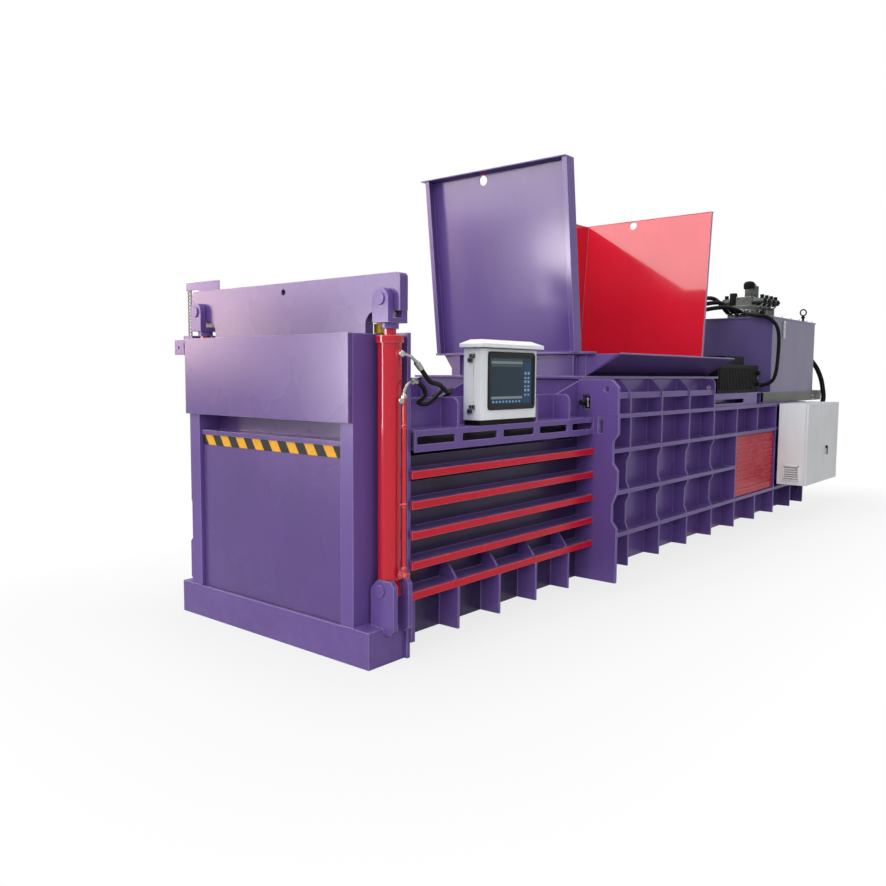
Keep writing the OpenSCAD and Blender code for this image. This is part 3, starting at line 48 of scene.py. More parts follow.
def make_camera():
    """Camera at the photo's viewpoint: eye height 1.55 m, left of the discharge gate."""
    focal_px, sensor = 825.7, 36.0
    yaw, pitch, roll = math.radians(50.05), math.radians(-4.82), math.radians(0.37)
    eye = Vector((-2.968, -3.831, 1.550))
    ahead = Vector((math.sin(yaw) * math.cos(pitch), math.cos(yaw) * math.cos(pitch), math.sin(pitch)))
    level = Vector((math.cos(yaw), -math.sin(yaw), 0.0))
    up = level.cross(ahead)
    right = level * math.cos(roll) + up * math.sin(roll)
    top = up * math.cos(roll) - level * math.sin(roll)
    data = bpy.data.cameras.new("photo_camera")
    data.sensor_width = sensor
    data.lens = focal_px / IMAGE_SIDE * sensor
    data.clip_start, data.clip_end = 0.05, 400.0
    cam = bpy.data.objects.new("photo_camera", data)
    cam.matrix_world = Matrix.Translation(eye) @ Matrix((right, top, -ahead)).transposed().to_4x4()
    bpy.context.scene.collection.objects.link(cam)
    bpy.context.scene.camera = cam


make_camera()


class Wiring:
    """Adds shader nodes to one tree and joins them by socket name."""

    def __init__(self, tree):
        self.tree = tree

    def give(self, value, socket):
        """Joins an output to a socket, or sets the socket to a constant."""
        if isinstance(value, bpy.types.NodeSocket):
            self.tree.links.new(value, socket)
        else:
            socket.default_value = value

    def add(self, kind, values=None, **settings):
        node = self.tree.nodes.new(kind)
        for key, value in settings.items():
            setattr(node, key, value)
        for key, value in (values or {}).items():
            self.give(value, node.inputs[key])
        return node

    def math(self, operation, a, b=0.0, clamp=False):
        node = self.add("ShaderNodeMath", {0: a, 1: b}, operation=operation, use_clamp=clamp)
        return node.outputs[0]

    def blend(self, share, a, b):
        """Colour a where share is 0, and b where it is 1."""
        return self.add("ShaderNodeMix", {0: share, 6: a, 7: b}, data_type="RGBA").outputs[2]

    def product(self, *factors):
        """All factors multiplied with each other."""
        total = factors[0]
        for factor in factors[1:]:
            total = self.math("MULTIPLY", total, factor)
        return total

    def vector(self, operation, a, b=(0.0, 0.0, 0.0)):
        """A vector sum; DOT_PRODUCT and LENGTH give a number."""
        outputs = self.add("ShaderNodeVectorMath", {0: a, 1: b}, operation=operation).outputs
        return outputs["Value" if operation in ("DOT_PRODUCT", "LENGTH") else "Vector"]

    def remap(self, value, low, high, to_low=0.0, to_high=1.0):
        node = self.add("ShaderNodeMapRange", {"Value": value, "From Min": low, "From Max": high,
                                               "To Min": to_low, "To Max": to_high})
        return node.outputs[0]

    def noise(self, where, scale, detail=3.0, roughness=0.5):
        node = self.add("ShaderNodeTexNoise", {"Vector": where, "Scale": scale, "Detail": detail,
                                               "Roughness": roughness})
        return node.outputs[0]

    def object_place(self):
        return self.add("ShaderNodeTexCoord").outputs["Object"]

    def parts(self, vector):
        """The x, y and z of a vector."""
        return self.add("ShaderNodeSeparateXYZ", {0: vector}).outputs

    def bump(self, height, strength, distance, normal=None):
        """The normal of a surface with fine relief; distance is in metres."""
        values = {"Height": height, "Strength": strength, "Distance": distance}
        if normal is not None:
            values["Normal"] = normal
        return self.add("ShaderNodeBump", values).outputs[0]


def rgba(colour):
    return (*colour, 1.0)


def shader_group(name, takes, gives):
    """An empty node group with named sockets: takes is {label: default}, gives is {label: type}."""
    tree = bpy.data.node_groups.new(name, "ShaderNodeTree")
    for label, default in takes.items():
        kind = "NodeSocketColor" if isinstance(default, tuple) else "NodeSocketFloat"
        socket = tree.interface.new_socket(label, in_out="INPUT", socket_type=kind)
        socket.default_value = default
    for label, kind in gives.items():
        tree.interface.new_socket(label, in_out="OUTPUT", socket_type="NodeSocket" + kind)
    w = Wiring(tree)
    return w, w.add("NodeGroupInput").outputs, w.add("NodeGroupOutput").inputs


EDGE_RADIUS = 0.007
WAVE_HEIGHT = 4.0
SPLASH_TOP = 0.30
DUST = (0.36, 0.32, 0.30)
PRIMER = (0.40, 0.38, 0.42)


def make_edge_group():
    """Rounded plate edges: a normal that turns over the edge, and a mask of where it does, for the painted
    highlight along the edges.
    """
    w, takes, gives = shader_group(
        "rounded_edges_and_painted_highlight", {"Edge Light": 1.0}, {"Mask": "Float", "Normal": "Vector"})
    bevel = w.add("ShaderNodeBevel", {"Radius": EDGE_RADIUS}, samples=4)
    flat = w.add("ShaderNodeNewGeometry").outputs["Normal"]
    # painted highlight: this mask lightens the colour along every plate edge, convex and concave alike
    mask = w.remap(w.vector("DOT_PRODUCT", bevel.outputs[0], flat), 0.995, 0.80)
    uneven = w.remap(w.noise(w.object_place(), 7.0), 0.32, 0.62, 0.55, 1.0)
    w.give(w.math("MULTIPLY", w.product(mask, uneven), takes["Edge Light"], True), gives["Mask"])
    w.give(bevel.outputs[0], gives["Normal"])
    return w.tree


def make_skin_group():
    """Height of sprayed paint over rolled plate: fine orange peel, and slow waves of the sheet."""
    w, takes, gives = shader_group("sprayed_skin", {"Peel": 0.35, "Waves": 1.0}, {"Height": "Float"})
    place = w.object_place()
    peel = w.product(w.noise(place, 70.0, 1.0), takes["Peel"])
    waves = w.product(w.noise(place, 4.0, 0.0), takes["Waves"], WAVE_HEIGHT)
    w.give(w.math("ADD", peel, waves), gives["Height"])
    return w.tree


def make_tone_group():
    """Paint colour with cloudy variation, run marks, painted shade on undersides, small chips, dust and
    splash.
    """
    w, takes, gives = shader_group(
        "worn_tone_and_painted_shade",
        {"Color": (0.5, 0.5, 0.5, 1.0), "Dust": 0.3, "Chips": 0.2, "Base Roughness": 0.3},
        {"Color": "Color", "Roughness": "Float"})
    place = w.object_place()
    cloud = w.remap(w.noise(place, 1.7, 3.0, 0.5), 0.3, 0.7, 0.93, 1.06)
    runs = w.add("ShaderNodeMapping", {"Vector": place, "Scale": (26.0, 26.0, 1.1)}).outputs[0]
    streak = w.remap(w.noise(runs, 1.0, 3.0, 0.55), 0.3, 0.7, 0.975, 1.02)
    up = w.parts(w.add("ShaderNodeNewGeometry").outputs["Normal"])[2]
    # painted shade: faces that look down get darker, down to 0.45 of the colour
    below = w.remap(up, -0.9, -0.3, 0.45, 1.0)
    tinted = w.add("ShaderNodeHueSaturation",
                   {"Value": w.product(cloud, streak, below), "Color": takes["Color"]}).outputs[0]
    # chips: the crests of a noise, only where a slow noise lets them
    fleck = w.remap(w.noise(place, 26.0, 1.0, 0.4), 0.74, 0.80)
    where = w.remap(w.noise(place, 3.1, 2.0), 0.52, 0.66)
    chips = w.product(fleck, where, takes["Chips"])
    # dust lies on level faces, and splash reaches up to SPLASH_TOP
    patch = w.remap(w.noise(place, 9.0, 5.0, 0.65), 0.38, 0.68)
    lying = w.product(w.remap(up, 0.6, 0.98), patch)
    spots = w.remap(w.noise(place, 16.0, 6.0, 0.7), 0.42, 0.70)
    splash = w.product(w.remap(w.parts(place)[2], SPLASH_TOP, 0.0), spots)
    dust = w.product(w.math("ADD", lying, splash, True), takes["Dust"])
    dusty = w.blend(dust, tinted, rgba(DUST))
    rough = w.math("ADD", takes["Base Roughness"], w.product(dust, 0.5))
    smear = w.remap(w.noise(place, 2.2, 2.0, 0.5), 0.3, 0.7, -0.03, 0.04)
    w.give(w.blend(chips, dusty, rgba(PRIMER)), gives["Color"])
    w.give(w.math("ADD", rough, smear, True), gives["Roughness"])
    return w.tree


EDGES = make_edge_group()
SKIN = make_skin_group()
TONE = make_tone_group()


def new_material(name):
    mat = bpy.data.materials.new(name)
    mat.use_nodes = True
    mat.node_tree.nodes.clear()
    w = Wiring(mat.node_tree)
    shader = w.add("ShaderNodeBsdfPrincipled")
    out = w.add("ShaderNodeOutputMaterial", {"Surface": shader.outputs[0]})
    out.is_active_output = True
    return mat, w, shader


def feed(w, shader, **sockets):
    """Joins or sets the shader's sockets; underscores stand for the blanks in their names."""
    for key, value in sockets.items():
        w.give(value, shader.inputs[key.replace("_", " ")])


def edges_of(w, light):
    """The rounded edges of a piece with their painted highlight; light is how strongly the painted highlight
    shows.
    """
    return w.add("ShaderNodeGroup", {"Edge Light": light}, node_tree=EDGES).outputs


def inner_face(w, normal, offset):
    """1 on the face of a plate that lies in the plane dot(place, normal) = offset and looks along normal."""
    reached = w.math("GREATER_THAN", w.vector("DOT_PRODUCT", w.object_place(), normal), offset - 0.002)
    facing = w.add("ShaderNodeNewGeometry").outputs["True Normal"]
    return w.product(reached, w.math("GREATER_THAN", w.vector("DOT_PRODUCT", facing, normal), 0.5))


def beam_shade_mask(w, depth, foot, top):
    """Painted shade for the insides of the hollow top beams: 1 less than depth from the centreline, between
    two heights.
    """
    parts = w.parts(w.object_place())
    deep = w.math("LESS_THAN", w.math("ABSOLUTE", parts[1]), depth)
    return w.product(deep, w.math("GREATER_THAN", parts[2], foot), w.math("LESS_THAN", parts[2], top))


def wall_shade(w, face, foot, top):
    """How much painted shade the wall behind the shelves gets: 1 behind the top beam, and uneven below it."""
    parts = w.parts(w.object_place())
    wall = w.math("LESS_THAN", w.math("ABSOLUTE", parts[1]), face)
    behind = w.product(w.math("GREATER_THAN", parts[2], foot), w.math("LESS_THAN", parts[2], top))
    bays = w.remap(w.noise(w.object_place(), 2.4, 4.0, 0.6), 0.3, 0.7, 0.62, 0.88)
    return w.product(wall, w.math("MAXIMUM", behind, bays))


def left_of(w, x):
    """1 on what lies at a smaller x."""
    return w.math("LESS_THAN", w.parts(w.object_place())[0], x)


def right_of(w, x):
    """1 on what lies at a larger x."""
    return w.math("GREATER_THAN", w.parts(w.object_place())[0], x)


def paint(name, colour, roughness=0.3, peel=0.06, waves=1.0, dust=0.12, chips=0.15, edge=0.7, coat=0.10,
          coat_rough=0.12, specular=0.14, second=None):
    """Sprayed paint on steel, with a painted highlight along the edges. second is (colour, mask maker, its
    values) for a part painted otherwise, or for painted shade on part of it.
    """
    mat, w, shader = new_material(name)
    base = rgba(colour)
    if second:
        base = w.blend(second[1](w, *second[2]), base, rgba(second[0]))
    tone = w.add("ShaderNodeGroup",
                 {"Color": base, "Dust": dust, "Chips": chips, "Base Roughness": roughness},
                 node_tree=TONE).outputs
    edges = edges_of(w, edge)
    skin = w.add("ShaderNodeGroup", {"Peel": peel, "Waves": waves}, node_tree=SKIN).outputs[0]
    # painted highlight: the edges get a lighter copy of the paint colour
    light = tuple(min(1.0, c * 1.3 + 0.42) for c in colour)
    feed(w, shader, Base_Color=w.blend(edges["Mask"], tone["Color"], rgba(light)),
         Roughness=tone["Roughness"], Normal=w.bump(skin, 0.35, 0.001, edges["Normal"]), Coat_Weight=coat,
         Coat_Roughness=coat_rough, Specular_IOR_Level=specular)
    return mat


def steel(name, colour, roughness, grain=0.3, stain=0.15, metallic=1.0):
    """Bare or plated steel with fine marks, stains and a painted highlight along its edges."""
    mat, w, shader = new_material(name)
    place = w.object_place()
    fine = w.noise(place, 240.0, 3.0)
    blotch = w.remap(w.noise(place, 24.0, 5.0, 0.65), 0.42, 0.7)
    edges = edges_of(w, 0.5)
    shade = w.blend(w.product(blotch, stain), rgba(colour), rgba(tuple(c * 0.45 for c in colour)))
    rough = w.math("ADD", w.remap(fine, 0.3, 0.7, roughness * 0.8, roughness * 1.25),
                   w.product(blotch, stain * 0.4))
    # painted highlight: the edges blend towards near white
    feed(w, shader, Base_Color=w.blend(edges["Mask"], shade, (0.9, 0.9, 0.9, 1.0)), Metallic=metallic,
         Roughness=rough, Normal=w.bump(fine, grain, 0.0004, edges["Normal"]))
    return mat


def rubber(name, colour):
    """Hose cover: matt rubber with cloth marks."""
    mat, w, shader = new_material(name)
    place = w.object_place()
    cloth = w.noise(place, 420.0, 2.0)
    dust = w.remap(w.noise(place, 12.0, 5.0, 0.6), 0.5, 0.85, 0.0, 0.05)
    feed(w, shader, Base_Color=w.blend(dust, rgba(colour), (0.16, 0.15, 0.14, 1.0)),
         Roughness=w.remap(cloth, 0.3, 0.7, 0.36, 0.50), Normal=w.bump(cloth, 0.4, 0.0006),
         Specular_IOR_Level=0.07)
    return mat


def moulded(name, colour, roughness, glow=None, coat=0.0):
    """Moulded plastic or a glass-fronted face with a fine texture and a painted highlight along its edges."""
    mat, w, shader = new_material(name)
    place = w.object_place()
    fine = w.noise(place, 260.0, 2.0)
    smear = w.noise(place, 18.0, 4.0, 0.6)
    edges = edges_of(w, 0.35)
    # painted highlight: the edges get a lighter copy of the colour
    light = tuple(min(1.0, c * 1.5 + 0.05) for c in colour)
    feed(w, shader, Base_Color=w.blend(edges["Mask"], rgba(colour), rgba(light)),
         Roughness=w.remap(smear, 0.3, 0.7, roughness * 0.85, roughness * 1.2),
         Normal=w.bump(fine, 0.12, 0.0003, edges["Normal"]),
         Coat_Weight=coat, Coat_Roughness=0.04, Specular_IOR_Level=0.15)
    if glow:
        feed(w, shader, Emission_Color=rgba(colour), Emission_Strength=glow)
    return mat


def hazard_paint(name):
    """Black and yellow stripes that lean from the top left to the bottom right of the gate."""
    mat, w, shader = new_material(name)
    place = w.object_place()
    slant, pitch, shift = 0.62, 0.1555, 10.0
    y, z = w.parts(place)[1], w.parts(place)[2]
    across = w.math("SUBTRACT", w.product(z, slant), y)
    turns = w.math("FRACT", w.math("DIVIDE", w.math("ADD", across, shift), pitch))
    grit = w.remap(w.noise(place, 60.0, 4.0, 0.6), 0.35, 0.75, 0.82, 1.05)
    yellow = w.add("ShaderNodeHueSaturation", {"Value": grit, "Color": (0.86, 0.42, 0.015, 1.0)}).outputs[0]
    tape = w.blend(w.math("GREATER_THAN", turns, 0.5), yellow, (0.012, 0.012, 0.013, 1.0))
    scuff = w.remap(w.noise(place, 34.0, 6.0, 0.7), 0.64, 0.72, 0.0, 0.5)
    feed(w, shader, Base_Color=w.blend(scuff, tape, (0.20, 0.16, 0.16, 1.0)), Roughness=0.42,
         Normal=edges_of(w, 0.2)["Normal"], Specular_IOR_Level=0.08)
    return mat


# Base colours, in linear light
PURPLE = (0.128, 0.072, 0.270)
RED = (0.56, 0.008, 0.028)
# painted shade: the body purple made darker for the gate and its cover
GATE_SHADED_PURPLE = (0.098, 0.050, 0.210)
PANEL_RED = (0.64, 0.013, 0.034)
# near black painted shade for the insides of the hollow beams and the wall behind the shelves
PAINTED_SHADE = (0.012, 0.009, 0.018)
BLACK = (0.010, 0.010, 0.011)
WHITE = (0.80, 0.82, 0.83)
# Where a node changes colour, in metres: planes of the red inner faces, then (depth, foot, top) or x
FRONT_PLANE = ((0.99331, 0.0, 0.11558), 2.59210)
BACK_PLANE = ((-0.99570, 0.0, 0.09269), -4.43920)
SIDE_PLANE = ((0.0, -1.0, 0.0), -0.660)
BEAM_SHADE_BOX = (0.884, 1.128, 1.2325)
HINGE_X = (0.8699,)
RACK_X = (0.2179,)
WALL_SHADE = (0.775, 1.10, 1.2325)


def make_finishes():
    """Every finish on the machine by name."""
    satin = {"roughness": 0.27, "waves": 1.4, "coat": 0.25, "coat_rough": 0.2}
    gloss = {"roughness": 0.14, "waves": 0.3, "dust": 0.02, "chips": 0.1, "coat": 0.55, "coat_rough": 0.05}
    sheet = {"roughness": 0.42, "waves": 0.2, "dust": 0.03, "chips": 0.05, "edge": 0.4, "coat": 0.1}
    return {
        "purple": paint("purple_paint", PURPLE),
        "purple_smooth": paint("purple_smooth", PURPLE, **satin),
        # painted shade: a darker copy of the body purple for the gate and its cover
        "gate_paint_shaded": paint("gate_paint_shaded", GATE_SHADED_PURPLE, peel=0.02, chips=0.05, **satin),
        # painted shade inside the hollow top beams
        "beam": paint("beam_paint_painted_shade", PURPLE, second=(PAINTED_SHADE, beam_shade_mask, BEAM_SHADE_BOX)),
        # painted shade on the wall behind the shelves
        "wall": paint("wall_paint_painted_shade", PURPLE, second=(PAINTED_SHADE, wall_shade, WALL_SHADE)),
        "rack": paint("rack_paint", PURPLE, second=(BLACK, right_of, RACK_X)),
        "red": paint("red_paint", RED, roughness=0.28, dust=0.02, chips=0.1, coat=0.08, specular=0.10),
        "front_panel": paint("front_panel_paint", PURPLE, roughness=0.22, waves=1.6, dust=0.04, coat=0.3,
                             coat_rough=0.16, second=(PANEL_RED, inner_face, FRONT_PLANE)),
        "back_panel": paint("back_panel_paint", PURPLE, second=(PANEL_RED, inner_face, BACK_PLANE), **gloss),
        "side_panel": paint("side_panel_paint", PURPLE, second=(PANEL_RED, inner_face, SIDE_PLANE), **gloss),
        "hydraulic": paint("hydraulic_red", (0.46, 0.008, 0.022), roughness=0.2, waves=0.1, dust=0.04,
                           chips=0.1, coat=0.4, coat_rough=0.04),
        "black": paint("black_paint", BLACK, roughness=0.45, dust=0.03, coat=0.0, edge=0.15, specular=0.04),
        "white": paint("sheet_white", WHITE, **sheet),
        "hinged_white": paint("hinged_white", WHITE, second=(BLACK, left_of, HINGE_X), **sheet),
        "grey": paint("sheet_grey", (0.130, 0.133, 0.126), roughness=0.45, coat=0.1),
        "tank": paint("tank_paint", (0.100, 0.074, 0.205), roughness=0.38, coat=0.4, coat_rough=0.25),
        "ground": steel("machined_steel", (0.50, 0.51, 0.53), 0.32),
        "bright": steel("bright_steel", (0.78, 0.79, 0.81), 0.10, grain=0.08, stain=0.04),
        "plated": steel("plated_fitting", (0.36, 0.35, 0.33), 0.16, grain=0.1, stain=0.5),
        "dull": steel("dull_valve_steel", (0.085, 0.095, 0.088), 0.45, stain=0.7, metallic=0.5),
        "hose": rubber("hose_rubber", (0.007, 0.007, 0.008)),
        "bezel": moulded("screen_bezel", (0.008, 0.009, 0.010), 0.32),
        "yellow": moulded("yellow_plastic", (0.80, 0.56, 0.04), 0.35),
        "clear": moulded("gauge_clear", (0.62, 0.64, 0.60), 0.18, coat=0.6),
        "hazard": hazard_paint("hazard_tape"),
        "screen_back": moulded("screen_slate", (0.010, 0.024, 0.038), 0.15, glow=0.25),
        "screen_bar": moulded("screen_pale_bar", (0.16, 0.21, 0.23), 0.15, glow=0.25),
        "screen_dim": moulded("screen_dim_bar", (0.055, 0.070, 0.085), 0.15, glow=0.2),
        "screen_blue": moulded("screen_blue", (0.010, 0.034, 0.090), 0.15, glow=0.3),
        "screen_lit": moulded("screen_lit", (0.18, 0.30, 0.40), 0.15, glow=0.3),
    }


FINISH = make_finishes()

NODE_FINISH = {
    "gate_paint_shaded": "gate_cover gate", "purple_smooth": "hopper_neck", "beam": "top_beams",
    "wall": "tie_beams", "rack": "position_rack",
    "red": "tie_bars access_hatches",
    "front_panel": "hopper_front", "back_panel": "hopper_back", "side_panel": "hopper_side",
    "hydraulic": "lift_barrels lift_pipes main_cylinder",
    "bright": "lift_rods main_rod",
    "ground": "fixed_knife ram_wear ram_pin", "dull": "valve_manifold",
    "black": "control_base oil_cooler pump_motor tank_breather cabinet_handle",
    "hose": "lift_hoses tank_hoses",
    "white": "rain_hood cabinet cabinet_door", "hinged_white": "control_box control_door",
    "grey": "tank_beams", "tank": "oil_tank", "bezel": "touch_screen", "yellow": "limit_switch",
    "hazard": "hazard_strip", "clear": "level_gauge",
}


def dress_nodes():
    """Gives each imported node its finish; what isn't named is purple."""
    by_node = {n: key for key, names in NODE_FINISH.items() for n in names.split()}
    for name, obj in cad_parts.items():
        obj.data.materials.clear()
        obj.data.materials.append(FINISH[by_node.get(name, "purple")])


dress_nodes()


def finish_piece(name, bm, body, finish, sharp_deg=35.0):
    """Turns a bmesh in millimetres into a piece that rides on a body."""
    bmesh.ops.recalc_face_normals(bm, faces=bm.faces)
    limit = math.radians(sharp_deg)
    for f in bm.faces:
        f.smooth = True
    for e in bm.edges:
        e.smooth = len(e.link_faces) == 2 and e.calc_face_angle(0.0) < limit
    bmesh.ops.scale(bm, vec=(MM, MM, MM), verts=bm.verts)
    mesh = bpy.data.meshes.new(name)
    bm.to_mesh(mesh)
    bm.free()
    mesh.materials.append(FINISH[finish])
    obj = bpy.data.objects.new(name, mesh)
    bpy.context.scene.collection.objects.link(obj)
    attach(obj, body)
    return obj


def square_to(direction):
    """Two unit vectors square to a direction and to each other."""
    d = Vector(direction).normalized()
    side = d.cross(Vector((0, 0, 1)) if abs(d.z) < 0.9 else Vector((1, 0, 0))).normalized()
    return side, d.cross(side)


def circle(bm, centre, u, v, radius, sides):
    """A ring of new vertices in the plane of u and v."""
    return [bm.verts.new(centre + (u * math.cos(a) + v * math.sin(a)) * radius)
            for a in (2 * math.pi * i / sides for i in range(sides))]


def skin_over(bm, rings, closed=True):
    """Faces between rings of equally many vertices, with a cap at both ends if closed."""
    for a, b in zip(rings, rings[1:]):
        for i in range(len(a)):
            j = (i + 1) % len(a)
            bm.faces.new((a[i], a[j], b[j], b[i]))
    if closed:
        bm.faces.new(rings[0][::-1])
        bm.faces.new(rings[-1])


def turned(bm, base, axis, profile, sides=24):
    """A solid of revolution: profile is [(distance along the axis, radius)], closed at both ends."""
    d = Vector(axis).normalized()
    u, v = square_to(d)
    skin_over(bm, [circle(bm, Vector(base) + d * along, u, v, radius, sides) for along, radius in profile])


def block(bm, low, high, radius=2.0):
    """A box, with rounded edges unless the radius is 0."""
    made = bmesh.ops.create_cube(bm, size=1.0)["verts"]
    size = Vector(high) - Vector(low)
    for v in made:
        share = v.co + Vector((0.5, 0.5, 0.5))
        v.co = Vector(low) + Vector((share.x * size.x, share.y * size.y, share.z * size.z))
    edges = list(dict.fromkeys(e for v in made for e in v.link_edges))
    if radius:
        bmesh.ops.bevel(bm, geom=edges, offset=min(radius, min(size) * 0.45), segments=2, affect="EDGES",
                        profile=0.5)


HEX = 6


def hex_bolt(bm, base, axis, across=24.0, washer=True):
    """Hexagon head with a chamfered crown, on a washer."""
    r = across / math.sqrt(3)
    if washer:
        turned(bm, base, axis, [(0, r * 1.18), (across * 0.10, r * 1.18), (across * 0.12, r * 1.1)], 20)
    lift = across * 0.12 if washer else 0.0
    start = Vector(base) + Vector(axis).normalized() * lift
    turned(bm, start, axis, [(0, r), (across * 0.52, r), (across * 0.62, r * 0.80)], HEX)


def smooth_path(points, steps):
    """Catmull-Rom curve through points, with the given number of steps between each two."""
    p = [Vector(q) for q in points]
    ends = [p[0] * 2 - p[1], *p, p[-1] * 2 - p[-2]]
    path = []
    for i in range(len(p) - 1):
        a, b, c, d = ends[i:i + 4]
        for s in range(steps):
            u = s / steps
            path.append(0.5 * ((2 * b) + (c - a) * u + (2 * a - 5 * b + 4 * c - d) * u * u
                               + (3 * b - a - 3 * c + d) * u ** 3))
    path.append(p[-1])
    return path


def length_of(path):
    return sum((b - a).length for a, b in zip(path, path[1:]))


def cut_path(path, start, end):
    """The part of a path between two lengths along it."""
    lengths = [0.0]
    for a, b in zip(path, path[1:]):
        lengths.append(lengths[-1] + (b - a).length)

    def at(s):
        for i in range(len(path) - 1):
            if lengths[i + 1] >= s:
                span = max(lengths[i + 1] - lengths[i], 1e-9)
                return path[i].lerp(path[i + 1], (s - lengths[i]) / span)
        return path[-1]

    inner = [q for q, s in zip(path, lengths) if start + 1e-6 < s < end - 1e-6]
    return [at(start), *inner, at(end)]


def tube(bm, path, radius, sides=14):
    """A round tube along a path; radius is a number, or a function of the length along the path."""
    normal, _ = square_to(path[1] - path[0])
    rings, along = [], 0.0
    for i, centre in enumerate(path):
        tangent = (path[min(i + 1, len(path) - 1)] - path[max(i - 1, 0)]).normalized()
        normal = (normal - tangent * normal.dot(tangent)).normalized()
        if i:
            along += (centre - path[i - 1]).length
        r = radius(along) if callable(radius) else radius
        rings.append(circle(bm, centre, normal, tangent.cross(normal), r, sides))
    skin_over(bm, rings)


def mirrored(point, side):
    return (point[0], point[1] * side, point[2])


# Places on the machine in millimetres, most of them named as in the part's source
POST_D, POST_IN, POST_OUT = 272, 640, 735
SILL_H, SILL_Y = 200, 850
CHAMBER_X, JOINT_X, PRESS_X, PRESS_END = 297, 2187, 2215, 7065
WALL_OUT, RIB_OUT, RIB_HALF = 772, 892, 8
H1, H2, H3, H4 = 1256, 997, 679, 357
TOP_SHELF_Z = 1245
CYL_X, PORT_Y, PIPE_Y = 182, 903, 930
PORT_Z, PIPE_HEAD_Z, PIPE_FOOT_Z = 1650, 1420, 488
LID_TOP, VALVE_Y, VALVE_FRONT, VALVE_X = 2182, -280, -440, 6692
SCREEN_Y = -900.0

# Routes of the hoses, the same points as in the part's source
LIFT_A = [(182, 904.3, 1650), (182, 922, 1650), (240, 932, 1630), (310, 924, 1580), (394, 920, 1508),
          (500, 902, 1486), (600, 868, 1450), (740, 790, 1452), (840, 600, 1372), (840, 600, 1310.3)]
LIFT_B = [(182, 930, 1420.3), (182, 930, 1456), (214, 926, 1496), (300, 896, 1506), (384, 876, 1480),
          (414, 870, 1432), (376, 858, 1392), (500, 822, 1386), (640, 790, 1452), (740, 600, 1372),
          (740, 600, 1310.3)]
FRONT_HOSE = [(6579.7, -390, 2272), (6499.7, -390, 2272), (6210, -500, 2226), (6110, -640, 2196),
              (6106, -770, 2166), (6122, -864, 2040), (6136, -872, 1780), (6110, -846, 1520),
              (6090, -730, 1448), (6054.3, -640, 1455), (6010.3, -640, 1455)]
REAR_HOSE = [(7674.3, -640, 1810), (7734.3, -640, 1810), (7840.3, -700, 1760), (7916.3, -780, 1620),
             (7936.3, -838, 1420), (7890.3, -844, 1200), (7740.3, -620, 1060), (7575, 0, 980),
             (7575, 0, 882.3)]


def pump_hose(i):
    """One of the hoses from the valve block to the pump, counted from the loading side."""
    return [(6579.7, -316 + i * 74, 2272), (6479.7, -316 + i * 74, 2272),
            (6139.7, -270 + i * 80, 2302 + i * 54), (5789.7, -40 + i * 88, 2212 + i * 34),
            (5590, 230 + i * 90, 1950), (5590, 230 + i * 90, 1760.3)]


def crimped(radius, pitch):
    """Radius of a pressed sleeve along its length."""
    return lambda s: radius * (1.0 + 0.06 * math.cos(2 * math.pi * s / pitch))


def steps_of(length, pitch):
    return max(2, int(length / pitch))


def even_path(path, pitch):
    """The path cut again into even steps."""
    total = length_of(path)
    n = steps_of(total, pitch)
    return [cut_path(path, 0.0, max(total * i / n, 1e-6))[-1] for i in range(n + 1)]


def fitted_hose(parts, points, radius, elbow, ferrule, tail):
    """Steel elbow, pressed sleeve, hose and end sleeve along one route."""
    path = smooth_path(points, 8)
    total = length_of(path)
    fitting, sleeve, overlap, step = parts["fitting"], crimped(radius * 1.22, 11.0), 4.0, 3.0
    tube(fitting, cut_path(path, 0.0, elbow), radius * 0.66)
    turned(fitting, path[0], path[1] - path[0],
           [(0, radius * 1.15), (16, radius * 1.15), (19, radius * 0.95)], HEX)
    tube(fitting, even_path(cut_path(path, elbow, elbow + ferrule), step), sleeve, 18)
    start, end = elbow + ferrule, total - tail - ferrule
    tube(parts["hose"], cut_path(path, start - overlap, end + overlap), radius, 16)
    tube(fitting, even_path(cut_path(path, end, total - tail), step), sleeve, 18)
    tube(fitting, cut_path(path, total - tail, total), radius * 0.8)
    turned(fitting, path[-1], path[-2] - path[-1], [(0, radius * 1.2), (18, radius * 1.2), (22, radius)], HEX)


def make_lift_hoses():
    parts = {"hose": bmesh.new(), "fitting": bmesh.new()}
    fitting, radius, tail = parts["fitting"], 13.0, 16.0
    banjo = [(0, 15), (4, 19), (14, 19), (20, 13)]
    for side in (-1, 1):
        head = (CYL_X, side * PIPE_Y, PIPE_HEAD_Z + 1)
        fitted_hose(parts, [mirrored(p, side) for p in LIFT_A], radius, 128.0, 52.0, tail)
        fitted_hose(parts, [mirrored(p, side) for p in LIFT_B], radius, 150.0, 46.0, tail)
        # banjo ball at the barrel port, and the nut and side port on the head of the pipe
        turned(fitting, (CYL_X, side * PORT_Y, PORT_Z), (0, side, 0), banjo, 20)
        turned(fitting, head, (0, 0, 1), [(0, 17), (12, 17), (15, 14)], HEX)
        turned(fitting, (CYL_X, side * PIPE_Y, PIPE_HEAD_Z - 12), (-1, side * 0.4, 0),
               [(0, 11), (30, 11), (33, 15), (44, 15)], 16)
    hose = finish_piece("lift_hose_runs", parts["hose"], "machine", "hose")
    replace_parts(hose, "lift_hoses")
    finish_piece("lift_hose_fittings", parts["fitting"], "machine", "plated")


def make_tank_hoses():
    parts = {"hose": bmesh.new(), "fitting": bmesh.new()}
    fitted_hose(parts, FRONT_HOSE, 19.0, 26.0, 50.0, 10.0)
    fitted_hose(parts, REAR_HOSE, 28.0, 26.0, 66.0, 10.0)
    for i in range(3):
        fitted_hose(parts, pump_hose(i), 23.0, 26.0, 56.0, 10.0)
    hose = finish_piece("tank_hose_runs", parts["hose"], "machine", "hose")
    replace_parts(hose, "tank_hoses")
    finish_piece("tank_hose_fittings", parts["fitting"], "machine", "plated")


